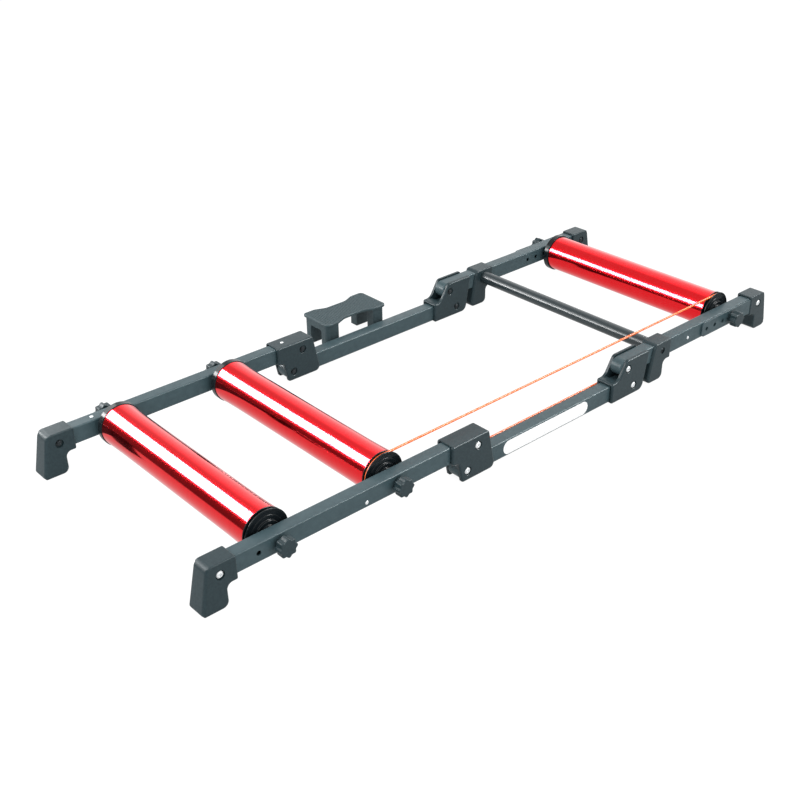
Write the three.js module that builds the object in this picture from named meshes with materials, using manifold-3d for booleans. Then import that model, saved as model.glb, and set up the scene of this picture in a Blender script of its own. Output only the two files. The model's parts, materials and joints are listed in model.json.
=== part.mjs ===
// Folding bike rollers: three drums in a three-part ladder frame, with a drive belt and a step stool.
// Millimetres. +X points from the rear to the front of the frame, +Z up, and +Y to the left, where
// the stool stands; the belt runs on the right. The origin is on the floor, under the middle of
// everything.
import * as THREE from 'three';
import { mergeVertices } from 'three/addons/utils/BufferGeometryUtils.js';
import Module from 'manifold-3d';

const wasm = await Module();
wasm.setup();

// Frame
const frameLength = 1400;
const frameWidth = 500;
const railWidth = 25;
const railHeight = 32.5;
const railWall = 2;
const railCorner = 2.6;
const endRailBase = 42;
const middleRailBase = 1.8;

// Fits and cuts
const fit = 0.3;
const overrun = 40;

// Hinges: the end sections' lengths to their pivots, then distances from the pivot and closed side
const rearSectionLength = 523;
const frontSectionLength = 461;
const rearLockOffset = 23.5;
const frontLockOffset = 19.5;
const hingeRoof = 2.5;
const hingeHeight = endRailBase + railHeight + hingeRoof;
const neckGap = 1.5;
const cheekWall = 6.7;
const noseWall = 6;
const hingeEdge = 1.6;
const hingeCorner = 2.6;
const rearHinge = {
  sleeveReach: 35.5,
  sleeveHeight: hingeHeight - endRailBase,
  mouthGap: 2.2,
  noseReach: 49,
  noseLean: 16,
  noseRadius: 5,
  toeRadius: 10,
  heelReach: 12.5,
  heelRadius: 5,
  archLean: 9,
  archRadius: 11,
  roofReach: 60,
};
const frontHinge = {
  sleeveReach: 43.5,
  sleeveHeight: endRailBase - neckGap,
  mouthGap: neckGap,
  noseReach: 47,
  noseLean: 13,
  noseRadius: 14,
  toeRadius: 4,
  heelReach: 4,
  heelRadius: 10,
  archLean: 22,
  archRadius: 16,
  roofReach: 25,
};

// Feet
const footLean = 15.5;
const footSleeve = 50;
const footLeg = 46;
const footWall = 4.5;
const footRoof = 3.3;
const footSill = 4.5;
const footEndWall = 6;
const footEdge = 2;
const footFlare = 3.2;
const footCorner = 3;
const footArchRadius = 13;
const footToeRadius = 11;
const footSoleRadius = 4;
const footBrowRadius = 8;
const middleFootSoleRadius = 9;
const footBoltSet = 37;
const middleFootGap = 4;

// Bolts
const boltRadius = 3.5;
const boltHeadRadius = 6;
const boltHeadHeight = 3.2;
const boltDome = 1;
const boltNutHeight = 3;
const counterboreGap = 1.8;
const counterboreDepth = 3;
const tieBoltHeadRadius = 4.6;
const tieBoltReach = 11;

// Cross tube
const crossTubeRadius = 13;
const crossTubeWall = 2;
const crossTubePlug = 14;
const crossTubeRise = 1.5;
const crossTubeSet = 40.5;

// Rollers
const rearRollerInset = 145;
const rollerSpacing = 229;
const frontRollerInset = 134;
const drumRadius = 37;
const drumWall = 2.5;
const drumFlare = 1.3;
const drumFlareLength = 60;

// End caps, bearings and axles
const capLip = 2.5;
const capShoulderDrop = 0.8;
const capSpigot = 12;
const capRightWidth = 9.4;
const capLeftWidth = 12;
const hubRightRise = 6.6;
const hubLeftRise = 8.6;
const capRimWidth = 3.6;
const capFaceDrop = 1;
const capBossRadius = 29;
const capStepRadius = 21.4;
const capStepHeight = 3.4;
const hubWall = 3.5;
const capBore = 6;
const bearingRadius = 11;
const bearingWidth = 7;
const bearingLip = 1.7;
const bearingDish = 0.6;
const axleRadius = 4;
const axleCollarRadius = 6.5;
const axleCollarWidth = 0.8;

// Belt
const beltRadius = 2;
const beltTrack = 4.5;
const beltSink = 4.7;
const grooveClear = 0.45;
const grooveFloorGap = 0.6;
const grooveFlare = 0.9;

// Adjusting plates
const plateThickness = 3;
const plateMargin = 1;
const plateRadius = 9;
const plateTail = 15.4;
const plateHolePitch = 26.7;
const plateHolesBehind = 3;
const plateHolesAhead = 1;
const spareHoleSet = 38.4;

// Knobs
const knobRadius = 16.5;
const knobFlute = 2.2;
const knobLobes = 8;
const knobHead = 15;
const knobEdge = 1.8;
const knobCollarRadius = 9.5;
const knobCollar = 6.5;
const knobBore = 13;

// Stool
const stoolLength = 157;
const stoolDepth = 80;
const stoolWaist = 60;
const stoolHeight = 60;
const stoolTop = 5;
const stoolRim = 3;
const stoolRecess = 0.8;
const stoolApron = 13;
const stoolInset = 3;
const stoolLegLong = 30;
const stoolLegShort = 18;
const stoolWall = 3;
const stoolSetBack = 12.5;
const stoolGap = 12;
const stoolCorner = 9;
const stoolShoulderRadius = 18;
const stoolWaistRadius = 27;
const stoolEdge = 1.2;
const stoolWaistShare = 0.32;
const stoolShoulderShare = 0.62;

// Facets
const arcStep = Math.PI / 6;
const smallCorner = 6;
const drumFacets = 24;
const capFacets = 14;
const smallFacets = 10;
const holeFacets = 8;
const nutSides = 6;
const swellSteps = 2;
const lobePoints = 3;
const halfTurnSteps = 10;
const ringSides = 8;

// Places worked out from the sizes
const railMid = (frameWidth - railWidth) / 2;
const railOuter = frameWidth / 2;
const railInner = railOuter - railWidth;
const endRailAxis = endRailBase + railHeight / 2;
const middleRailAxis = middleRailBase + railHeight / 2;
const rearEnd = -frameLength / 2;
const frontEnd = frameLength / 2;
const rearPivotX = rearEnd + rearSectionLength;
const frontPivotX = frontEnd - frontSectionLength;
const rearRollerX = rearEnd + rearRollerInset;
const middleRollerX = rearRollerX + rollerSpacing;
const frontRollerX = frontEnd - frontRollerInset;
const drumCapRadius = drumRadius + capLip;
const beltRing = drumCapRadius - beltSink;
const hubReach = railInner - axleCollarWidth - 2 * fit;
const hubRadius = bearingRadius + hubWall;
const rightCap = { rim: hubReach - hubRightRise, drumEnd: hubReach - hubRightRise - capRightWidth };
const leftCap = { rim: hubReach - hubLeftRise, drumEnd: hubReach - hubLeftRise - capLeftWidth };
const footHeight = endRailBase + railHeight + fit + footRoof;
const footLip = endRailBase - footSill;
const middleFootEnd = frontPivotX + frontHinge.noseReach + frontHinge.noseLean + middleFootGap;
const tieBoltX = middleFootEnd + crossTubeSet;
const crossTubeAxis = endRailAxis + crossTubeRise;
const footHalf = railWidth / 2 + footWall;
const hingeHalf = railWidth / 2 + fit + cheekWall;
const knobLength = knobCollar + knobHead;
const plateOuter = railOuter + fit + plateThickness;
const stoolX = (rearPivotX + frontPivotX) / 2 - stoolSetBack;
const stoolNear = railOuter + stoolGap;
const rightReach = plateOuter + fit + knobLength;
const sideShift = (rightReach - stoolNear - stoolDepth) / 2;

// Finishes
const finish = (color, roughness, metalness) =>
  new THREE.MeshStandardMaterial({ color, roughness, metalness });
const paint = finish(0x3c4649, 0.5, 0.3);
const plastic = finish(0x363f42, 0.65, 0);
const capBlack = finish(0x14181a, 0.35, 0);
const redAnodised = finish(0xb3101c, 0.25, 0.9);
const steel = finish(0xb9bdc0, 0.35, 1);
const zinc = finish(0xd5dadc, 0.3, 1);
const orange = finish(0xff6a20, 0.45, 0);

/** Turns a closed three.js geometry into a solid that can be cut and joined. */
function solid(geometry) {
  geometry.deleteAttribute('normal');
  geometry.deleteAttribute('uv');
  const merged = mergeVertices(geometry);
  return new wasm.Manifold(new wasm.Mesh({
    numProp: 3,
    vertProperties: merged.attributes.position.array,
    triVerts: merged.index.array,
  }));
}

/** Gives a solid back as a three.js geometry. */
function geometryOf(body) {
  const mesh = body.getMesh();
  const geometry = new THREE.BufferGeometry();
  geometry.setAttribute('position', new THREE.BufferAttribute(mesh.vertProperties, 3));
  geometry.setIndex(new THREE.BufferAttribute(mesh.triVerts, 1));
  geometry.computeVertexNormals();
  return geometry;
}

/** Cuts every tool from a body in turn. */
const cut = (body, tools) => tools.reduce((left, tool) => left.subtract(tool), body);

/** Outline through corners [x, y, radius], each rounded by its radius as far as its sides allow. */
function roundedOutline(corners) {
  const points = [];
  corners.forEach(([x, y, radius], i) => {
    const at = new THREE.Vector2(x, y);
    const [backX, backY] = corners[(i + corners.length - 1) % corners.length];
    const [nextX, nextY] = corners[(i + 1) % corners.length];
    const back = new THREE.Vector2(backX, backY).sub(at);
    const next = new THREE.Vector2(nextX, nextY).sub(at);
    const half = Math.acos(back.dot(next) / (back.length() * next.length())) / 2;
    const room = Math.min(back.length(), next.length()) / 2;
    const run = Math.min(radius / Math.tan(half), room);
    if (run === 0) {
      points.push(at);
      return;
    }
    const start = at.clone().addScaledVector(back.normalize(), run);
    const end = at.clone().addScaledVector(next.normalize(), run);
    const middle = back.add(next).normalize();
    const centre = at.clone().addScaledVector(middle, run / Math.cos(half));
    const from = start.clone().sub(centre).angle();
    const sweep = Math.PI - 2 * half;
    const turn = Math.sign(start.clone().sub(centre).cross(end.clone().sub(centre)));
    const arm = start.distanceTo(centre);
    const steps = radius > smallCorner ? Math.max(1, Math.round(sweep / arcStep)) : 1;
    for (let k = 0; k <= steps; k += 1) {
      const angle = from + turn * sweep * k / steps;
      points.push(new THREE.Vector2(Math.cos(angle), Math.sin(angle)).multiplyScalar(arm).add(centre));
    }
  });
  return new THREE.Shape(points);
}

/** Closed extrusion along local Z from 0 to a length, its edges bevelled inside the outline. */
function extruded(shape, length, edge) {
  const geometry = new THREE.ExtrudeGeometry(shape, {
    depth: length - 2 * edge,
    bevelEnabled: edge > 0,
    bevelThickness: edge,
    bevelSize: edge,
    bevelOffset: -edge,
    bevelSegments: 1,
  });
  return geometry.translate(0, 0, edge);
}

/** Solid of an (x, z) outline between two y values. */
function across(shape, low, high, edge = 0) {
  const geometry = extruded(shape, high - low, edge);
  return solid(geometry.rotateX(Math.PI / 2).translate(0, high, 0));
}

/** Solid of a (y, z) outline between two x values. */
function along(shape, low, high) {
  const turn = new THREE.Matrix4().makeBasis(
    new THREE.Vector3(0, 1, 0),
    new THREE.Vector3(0, 0, 1),
    new THREE.Vector3(1, 0, 0),
  );
  return solid(extruded(shape, high - low, 0).applyMatrix4(turn).translate(low, 0, 0));
}

/** Solid of an (x, y) outline between two z values. */
function upright(shape, low, high, edge = 0) {
  return solid(extruded(shape, high - low, edge).translate(0, 0, low));
}

/** Round bar along Y at (x, z), between two y values. */
function bar(radius, low, high, x = 0, z = 0, facets = holeFacets) {
  const geometry = new THREE.CylinderGeometry(radius, radius, high - low, facets);
  return solid(geometry.translate(x, (low + high) / 2, z));
}

/** Solid of revolution about Y from a closed loop of [radius, y] pairs, in either order. */
function revolved(loop, facets) {
  const area = loop.reduce((sum, [r, y], i) => {
    const [nextR, nextY] = loop[(i + 1) % loop.length];
    return sum + r * nextY - nextR * y;
  }, 0);
  const ordered = area > 0 ? loop : [...loop].reverse();
  const points = [...ordered, ordered[0]].map(([r, y]) => new THREE.Vector2(r, y));
  return solid(new THREE.LatheGeometry(points, facets));
}

/** Rectangle from two corners, with its own corner radius. */
const rectangle = (left, bottom, right, top, radius = 0) => roundedOutline([
  [left, bottom, radius],
  [right, bottom, radius],
  [right, top, radius],
  [left, top, radius],
]);

/** Bar that clears a bolt or axle through a whole rail, cheek or foot. */
const boltHole = (x, z, radius = boltRadius) => bar(radius + fit, -overrun, overrun, x, z);

const model = new THREE.Group();
model.position.y = sideShift;

/** Adds one named piece to the model. */
function add(name, geometry, material, x = 0, y = 0, z = 0, turned = false) {
  const mesh = new THREE.Mesh(geometry, material);
  mesh.name = name;
  mesh.position.set(x, y, z);
  mesh.rotation.z = turned ? Math.PI : 0;
  model.add(mesh);
  return mesh;
}

const sides = [
  { name: 'left', sign: 1 },
  { name: 'right', sign: -1 },
];

/** Square rail tube about its own middle plane; a closed round end turns about a hinge pivot. */
function rail(start, end, base, holes, roundStart) {
  const halfWidth = railWidth / 2;
  const top = base + railHeight;
  const outer = rectangle(-halfWidth, base, halfWidth, top, railCorner);
  const inner = rectangle(-halfWidth + railWall, base + railWall, halfWidth - railWall, top - railWall);
  const shell = along(outer, start, end);
  const bore = along(inner, start - overrun, end + overrun);
  const drilled = holes.map(([x, z, radius]) => boltHole(x, z, radius));
  if (!roundStart) {
    return cut(shell, [bore, ...drilled]);
  }
  const rounded = (inset) => {
    const low = base + inset - fit;
    const high = top - inset + fit;
    const radius = railHeight / 2 - inset;
    return across(roundedOutline([
      [start + inset, low, radius],
      [end + overrun, low, 0],
      [end + overrun, high, 0],
      [start + inset, high, radius],
    ]), -railWidth, railWidth);
  };
  return cut(shell.intersect(rounded(0)), [bore.intersect(rounded(railWall)), ...drilled]);
}

/** Moulded hinge housing: two cheeks, a closed back and nose, and a sleeve for the rail it holds. */
function hingeHousing(form, pivotX, lockOffset, closedAt, opens, heldBase, swungBase) {
  const place = (u, w) => [pivotX + u, closedAt + opens * w];
  const corner = (u, w, radius) => [...place(u, w), radius];
  const block = (left, low, right, high) => {
    const [x1, z1] = place(left, low);
    const [x2, z2] = place(right, high);
    return rectangle(x1, Math.min(z1, z2), x2, Math.max(z1, z2));
  };
  const outline = roundedOutline([
    corner(-form.sleeveReach, 0, hingeCorner),
    corner(form.noseReach, 0, form.noseRadius),
    corner(form.noseReach + form.noseLean, hingeHeight, form.toeRadius),
    corner(-form.heelReach, hingeHeight, form.heelRadius),
    corner(-form.heelReach - form.archLean, form.sleeveHeight, form.archRadius),
    corner(-form.sleeveReach, form.sleeveHeight, hingeCorner),
  ]);
  const inward = (base) => (opens > 0 ? base : closedAt - base - railHeight);
  const heldLow = inward(heldBase);
  const mouthLow = inward(swungBase) - form.mouthGap;
  const slotHalf = railWidth / 2 + fit;
  const noseInner = form.noseReach - noseWall;
  const pocket = block(-form.sleeveReach - overrun, heldLow - fit, noseInner, heldLow + railHeight + fit);
  const slot = block(-form.roofReach, heldLow + railHeight, noseInner, hingeHeight + overrun);
  const mouth = block(noseInner - overrun, mouthLow, form.noseReach + form.noseLean + overrun,
    hingeHeight + overrun);
  const bolts = [[0, opens > 0 ? endRailAxis : middleRailAxis],
    [lockOffset, opens > 0 ? middleRailAxis : endRailAxis]];
  const seat = boltHeadRadius + counterboreGap;
  const waist = block(-form.sleeveReach - overrun, form.sleeveHeight, noseInner, hingeHeight + overrun);
  const tools = [pocket, slot, waist, mouth].map((shape) => across(shape, -slotHalf, slotHalf));
  bolts.forEach(([offset, z]) => {
    const x = pivotX + offset;
    tools.push(boltHole(x, z));
    tools.push(bar(seat, hingeHalf - counterboreDepth, hingeHalf + overrun, x, z));
    tools.push(bar(seat, -hingeHalf - overrun, counterboreDepth - hingeHalf, x, z));
  });
  return cut(across(outline, -hingeHalf, hingeHalf, hingeEdge), tools);
}

/** Moulded foot: a sleeve over the rail and a leaning, flaring leg down to the floor, forwards from 0. */
function foot({ through, soleRadius, flare, boltAt, boltZ, headRadius }) {
  const back = footLean + footSleeve;
  const outline = roundedOutline([
    [0, 0, soleRadius],
    [footLeg, 0, footToeRadius],
    [footLeg, footLip, footArchRadius],
    [back, footLip, footCorner],
    [back, footHeight, footCorner],
    [footLean, footHeight, footBrowRadius],
  ]);
  const halfWidth = railWidth / 2 + fit;
  const pocket = along(
    rectangle(-halfWidth, endRailBase - fit, halfWidth, endRailBase + railHeight + fit, railCorner),
    through ? -overrun : footLean + footEndWall,
    back + overrun,
  );
  const seat = headRadius + counterboreGap;
  const tools = [
    pocket,
    boltHole(boltAt, boltZ),
    bar(seat, footHalf - counterboreDepth, footHalf + overrun, boltAt, boltZ),
    bar(seat, -footHalf - overrun, counterboreDepth - footHalf, boltAt, boltZ),
  ];
  const body = across(outline, -footHalf, footHalf, footEdge).warp((point) => {
    point[1] *= 1 + flare / footHalf * (1 - point[2] / footHeight);
  });
  return cut(body, tools);
}

/** Bolt along +Y: domed head outside, shank, and a hexagon nut on the far side when it has one. */
function bolt(headSeat, headRadius, shankEnd, nutSeat) {
  const headTop = headSeat + boltHeadHeight;
  const head = [
    [0, headTop],
    [headRadius - boltDome, headTop],
    [headRadius, headTop - boltDome],
    [headRadius, headSeat],
    [boltRadius, headSeat],
    [boltRadius, shankEnd],
    [0, shankEnd],
  ];
  const points = head.reverse().map(([r, y]) => new THREE.Vector2(r, y));
  const body = solid(new THREE.LatheGeometry(points, holeFacets));
  if (nutSeat === undefined) {
    return body;
  }
  return body.add(bar(boltHeadRadius, nutSeat - boltNutHeight, nutSeat, 0, 0, nutSides));
}

/** Rails, hinges, feet and their bolts, on both sides. */
function buildFrame() {
  const rearLockX = rearPivotX + rearLockOffset;
  const frontLockX = frontPivotX + frontLockOffset;
  const rearRailEnd = rearPivotX + rearHinge.noseReach - noseWall - fit;
  const middleRailEnd = frontPivotX + frontHinge.noseReach - noseWall - fit;
  const cappedEnd = frameLength / 2 - footLean - footEndWall - fit;
  const rearBoltX = rearEnd + footBoltSet;
  const frontBoltX = frontEnd - footBoltSet;
  const plateHoles = plateHoleStations().map((x) => [x, endRailAxis, axleRadius]);
  const rearRail = geometryOf(rail(-cappedEnd, rearRailEnd, endRailBase, [
    [rearBoltX, endRailAxis],
    [rearRollerX - spareHoleSet, endRailAxis, axleRadius],
    [rearRollerX, endRailAxis, axleRadius],
    [middleRollerX, endRailAxis, axleRadius],
    [rearLockX, endRailAxis],
  ], false));
  const middleRail = geometryOf(rail(rearPivotX - railHeight / 2, middleRailEnd, middleRailBase, [
    [rearPivotX, middleRailAxis],
    [frontLockX, middleRailAxis],
  ], true));
  const frontRail = geometryOf(rail(frontPivotX - railHeight / 2, cappedEnd, endRailBase, [
    [frontPivotX, endRailAxis],
    [tieBoltX, crossTubeAxis],
    ...plateHoles,
    [frontBoltX, endRailAxis],
  ], true));
  const rearHousing = geometryOf(
    hingeHousing(rearHinge, rearPivotX, rearLockOffset, hingeHeight, -1, endRailBase, middleRailBase),
  );
  const frontHousing = geometryOf(
    hingeHousing(frontHinge, frontPivotX, frontLockOffset, 0, 1, middleRailBase, endRailBase),
  );
  const endFoot = geometryOf(foot({
    through: false,
    soleRadius: footSoleRadius,
    flare: footFlare,
    boltAt: footBoltSet,
    boltZ: endRailAxis,
    headRadius: boltHeadRadius,
  }));
  const middleFoot = geometryOf(foot({
    through: true,
    soleRadius: middleFootSoleRadius,
    flare: 0,
    boltAt: crossTubeSet,
    boltZ: crossTubeAxis,
    headRadius: tieBoltHeadRadius,
  }));
  const hingeSeat = hingeHalf - counterboreDepth;
  const footSeat = footHalf - counterboreDepth;
  const hingeBolt = geometryOf(
    bolt(hingeSeat, boltHeadRadius, -hingeSeat - boltNutHeight, -hingeSeat),
  );
  const footBolt = geometryOf(bolt(footSeat, boltHeadRadius, -footSeat - boltNutHeight, -footSeat));
  const tieBolt = geometryOf(bolt(footSeat, tieBoltHeadRadius, -footHalf - tieBoltReach));
  sides.forEach(({ name, sign }) => {
    const y = sign * railMid;
    const turned = sign < 0;
    add(`rear_rail_${name}`, rearRail, paint, 0, y);
    add(`middle_rail_${name}`, middleRail, paint, 0, y);
    add(`front_rail_${name}`, frontRail, paint, 0, y);
    add(`rear_hinge_${name}`, rearHousing, plastic, 0, y);
    add(`front_hinge_${name}`, frontHousing, plastic, 0, y);
    add(`rear_foot_${name}`, endFoot, plastic, rearEnd, y);
    add(`front_foot_${name}`, endFoot, plastic, frontEnd, y, 0, true);
    add(`middle_foot_${name}`, middleFoot, plastic, middleFootEnd, y);
    add(`rear_pivot_bolt_${name}`, hingeBolt, zinc, rearPivotX, y, middleRailAxis, turned);
    add(`rear_lock_bolt_${name}`, hingeBolt, zinc, rearLockX, y, endRailAxis, turned);
    add(`front_pivot_bolt_${name}`, hingeBolt, zinc, frontPivotX, y, endRailAxis, turned);
    add(`front_lock_bolt_${name}`, hingeBolt, zinc, frontLockX, y, middleRailAxis, turned);
    add(`rear_foot_bolt_${name}`, footBolt, zinc, rearBoltX, y, endRailAxis, turned);
    add(`front_foot_bolt_${name}`, footBolt, zinc, frontBoltX, y, endRailAxis, turned);
    add(`middle_foot_bolt_${name}`, tieBolt, steel, tieBoltX, y, crossTubeAxis, turned);
  });
}

/** Cross tube between the middle feet, hollow between two threaded plugs. */
function buildCrossTube() {
  const end = railMid - footHalf - fit;
  const bore = end - crossTubePlug;
  const tube = bar(crossTubeRadius, -end, end, 0, 0, smallFacets);
  const hollow = bar(crossTubeRadius - crossTubeWall, -bore, bore, 0, 0, smallFacets);
  const threads = bar(boltRadius + fit, -end - overrun, end + overrun);
  add('cross_tube', geometryOf(cut(tube, [hollow, threads])), paint, tieBoltX, 0, crossTubeAxis);
}

/** Stations of the axle holes in an adjusting plate, the one in use among them. */
function plateHoleStations() {
  const count = plateHolesBehind + 1 + plateHolesAhead;
  return Array.from({ length: count }, (_, i) => frontRollerX + (i - plateHolesBehind) * plateHolePitch);
}

/** Plate outside each front rail, with a row of holes for the front axle. */
function buildPlates() {
  const halfHeight = railHeight / 2 - plateMargin;
  const start = frontRollerX - plateHolesBehind * plateHolePitch - plateTail;
  const end = frontEnd - footLean - footSleeve - fit;
  const outline = roundedOutline([
    [start, endRailAxis - halfHeight, plateRadius],
    [end, endRailAxis - halfHeight, 0],
    [end, endRailAxis + halfHeight, 0],
    [start, endRailAxis + halfHeight, plateRadius],
  ]);
  sides.forEach(({ name, sign }) => {
    const faces = [sign * (railOuter + fit), sign * plateOuter].sort((a, b) => a - b);
    const holes = plateHoleStations().map((x) => bar(
      axleRadius + fit, faces[0] - overrun, faces[1] + overrun, x, endRailAxis,
    ));
    const plate = cut(across(outline, faces[0], faces[1]), holes);
    add(`adjusting_plate_${name}`, geometryOf(plate), paint);
  });
}

/** Drum tube, its outside swelling smoothly towards the ends by the flare given. */
function drum(flare) {
  const steps = flare > 0 ? swellSteps : 1;
  const swell = (from, to) => Array.from({ length: steps + 1 }, (_, i) => {
    const share = i / steps;
    return [drumRadius + flare * share * share, from + (to - from) * share];
  });
  const bore = drumRadius - drumWall;
  return revolved([
    [bore, leftCap.drumEnd],
    [bore, -rightCap.drumEnd],
    ...swell(drumFlareLength - rightCap.drumEnd, -rightCap.drumEnd).reverse(),
    ...swell(leftCap.drumEnd - drumFlareLength, leftCap.drumEnd),
  ], drumFacets);
}

/** Moulded end cap about its drum's end, outwards along +Y: spigot, rim, belt groove, steps and hub. */
function endCap({ drumEnd, rim }, grooved) {
  const spigot = drumRadius - drumWall - fit;
  const shoulder = drumCapRadius - capShoulderDrop;
  const track = rim - beltTrack;
  const floor = beltRing - beltRadius - grooveFloorGap;
  const half = beltRadius + grooveClear;
  const groove = grooved ? [
    [shoulder, track - half - grooveFlare],
    [floor, track - half],
    [floor, track + half],
    [drumCapRadius, track + half + grooveFlare],
  ] : [[drumCapRadius, drumEnd + fit + grooveFlare]];
  const seat = hubReach - bearingWidth - fit;
  return revolved([
    [capBore, drumEnd - capSpigot],
    [spigot, drumEnd - capSpigot],
    [spigot, drumEnd + fit],
    [shoulder, drumEnd + fit],
    ...groove,
    [drumCapRadius, rim],
    [drumCapRadius - capRimWidth, rim],
    [drumCapRadius - capRimWidth, rim - capFaceDrop],
    [capBossRadius, rim - capFaceDrop],
    [capBossRadius, rim],
    [capStepRadius, rim],
    [capStepRadius, rim + capStepHeight],
    [hubRadius, rim + capStepHeight],
    [hubRadius, hubReach],
    [bearingRadius + fit, hubReach],
    [bearingRadius + fit, seat],
    [capBore, seat],
  ], capFacets);
}

/** Sealed ball bearing about its own axis, with a dished shield on its outer face. */
function bearing() {
  const inner = axleRadius + fit;
  const outerFace = hubReach;
  const innerFace = hubReach - bearingWidth;
  return revolved([
    [inner, innerFace],
    [bearingRadius, innerFace],
    [bearingRadius, outerFace - bearingDish],
    [inner + bearingLip, outerFace - bearingDish],
    [inner + bearingLip, outerFace],
    [inner, outerFace],
  ], smallFacets);
}

/** Fixed axle with a collar beside each bearing; its ends reach into the knobs. */
function axle(knobSeat) {
  const end = knobSeat + knobBore - fit;
  const inside = hubReach + fit;
  const outside = railInner - fit;
  const half = [
    [axleRadius, inside],
    [axleCollarRadius, inside],
    [axleCollarRadius, outside],
    [axleRadius, outside],
    [axleRadius, end],
  ];
  const mirrored = half.map(([r, y]) => [r, -y]).reverse();
  const points = [[0, -end], ...mirrored, ...half, [0, end]].map(([r, y]) => new THREE.Vector2(r, y));
  return solid(new THREE.LatheGeometry(points, holeFacets));
}

/** Lobed clamping knob with a collar, seated at y = 0 and pointing along +Y. */
function knob() {
  const around = knobLobes * lobePoints;
  const outline = new THREE.Shape(Array.from({ length: around }, (_, i) => {
    const angle = 2 * Math.PI * (i + 1 / 2) / around;
    const radius = knobRadius - knobFlute * (1 - Math.cos(knobLobes * angle)) / 2;
    return new THREE.Vector2(Math.cos(angle), Math.sin(angle)).multiplyScalar(radius);
  }));
  const head = across(outline, knobCollar, knobLength, knobEdge);
  const collar = bar(knobCollarRadius, 0, knobCollar + knobEdge);
  return head.add(collar).subtract(bar(axleRadius + fit, -overrun, knobBore, 0, 0, capFacets));
}

/** Three rollers, each with its axle, end caps, bearings and knobs. */
function buildRollers() {
  const plainCap = geometryOf(endCap(leftCap, false));
  const groovedCap = geometryOf(endCap(rightCap, true));
  const ballBearing = geometryOf(bearing());
  const clampKnob = geometryOf(knob());
  const stations = [
    { name: 'rear', x: rearRollerX, flare: drumFlare, knobSeat: railOuter + fit },
    { name: 'middle', x: middleRollerX, flare: drumFlare, knobSeat: railOuter + fit },
    { name: 'front', x: frontRollerX, flare: 0, knobSeat: plateOuter + fit },
  ];
  stations.forEach(({ name, x, flare, knobSeat }) => {
    add(`${name}_drum`, geometryOf(drum(flare)), redAnodised, x, 0, endRailAxis);
    add(`${name}_axle`, geometryOf(axle(knobSeat)), steel, x, 0, endRailAxis);
    sides.forEach((side) => {
      const turned = side.sign < 0;
      const cap = turned ? groovedCap : plainCap;
      add(`${name}_cap_${side.name}`, cap, capBlack, x, 0, endRailAxis, turned);
      add(`${name}_bearing_${side.name}`, ballBearing, steel, x, 0, endRailAxis, turned);
      add(`${name}_knob_${side.name}`, clampKnob, plastic, x, side.sign * knobSeat, endRailAxis, turned);
    });
  });
}

/** Round belt in the grooves of the middle and front rollers, one closed loop of round sections. */
function buildBelt() {
  const y = beltTrack - rightCap.rim;
  const wraps = [[frontRollerX, Math.PI / 2], [middleRollerX, -Math.PI / 2]];
  const sections = wraps.flatMap(([x, start]) => Array.from({ length: halfTurnSteps + 1 }, (_, i) => (
    { x, angle: start - Math.PI * i / halfTurnSteps }
  )));
  const vertices = sections.flatMap(({ x, angle }) => Array.from({ length: ringSides }, (_, k) => {
    const around = 2 * Math.PI * k / ringSides;
    const reach = beltRing + beltRadius * Math.cos(around);
    return [
      x + reach * Math.cos(angle),
      y + beltRadius * Math.sin(around),
      endRailAxis + reach * Math.sin(angle),
    ];
  }).flat());
  const index = sections.flatMap((_, i) => Array.from({ length: ringSides }, (__, k) => {
    const here = i * ringSides;
    const there = ((i + 1) % sections.length) * ringSides;
    const next = (k + 1) % ringSides;
    return [here + k, there + k, here + next, there + k, there + next, here + next];
  }).flat());
  const geometry = new THREE.BufferGeometry();
  geometry.setAttribute('position', new THREE.Float32BufferAttribute(vertices, 3));
  geometry.setIndex(index);
  geometry.computeVertexNormals();
  add('drive_belt', geometry, orange);
}

/** Step stool: a waisted top with a rim and an apron on four corner legs. */
function buildStool() {
  const halfLong = stoolLength / 2;
  const halfDeep = stoolDepth / 2;
  const halfWaist = stoolWaist / 2;
  const outlineAt = (inset, low, high, edgeRadius = 0) => {
    const long = halfLong - inset;
    const deep = halfDeep - inset;
    const waist = halfWaist - inset;
    const edge = [
      [long, deep, stoolCorner],
      [long * stoolShoulderShare, deep, stoolShoulderRadius],
      [long * stoolWaistShare, waist, stoolWaistRadius],
      [-long * stoolWaistShare, waist, stoolWaistRadius],
      [-long * stoolShoulderShare, deep, stoolShoulderRadius],
      [-long, deep, stoolCorner],
    ];
    const back = edge.map(([x, y, radius]) => [-x, -y, radius]);
    return upright(roundedOutline([...edge, ...back]), low, high, edgeRadius);
  };
  const block = (x1, y1, x2, y2, low, high) => upright(rectangle(x1, y1, x2, y2), low, high);
  const underTop = stoolHeight - stoolTop;
  const archLong = halfLong - stoolInset - stoolLegLong;
  const archDeep = halfDeep - stoolInset - stoolLegShort;
  const innerLong = halfLong - stoolInset - stoolWall;
  const innerDeep = halfDeep - stoolInset - stoolWall;
  const legs = outlineAt(stoolInset, 0, stoolHeight - stoolTop / 2);
  const hollow = block(-innerLong, -innerDeep, innerLong, innerDeep, -overrun, underTop);
  const sideArch = block(-archLong, -stoolDepth, archLong, stoolDepth, -overrun, underTop);
  const endArch = block(-stoolLength, -archDeep, stoolLength, archDeep, -overrun, underTop - stoolApron);
  const top = outlineAt(0, underTop, stoolHeight, stoolEdge);
  const tread = outlineAt(stoolRim, stoolHeight - stoolRecess, stoolHeight + overrun);
  const stool = cut(legs, [hollow, sideArch, endArch]).add(top).subtract(tread);
  add('step_stool', geometryOf(stool), plastic, stoolX, stoolNear + halfDeep);
}

buildFrame();
buildCrossTube();
buildPlates();
buildRollers();
buildBelt();
buildStool();

export default model;
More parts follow.
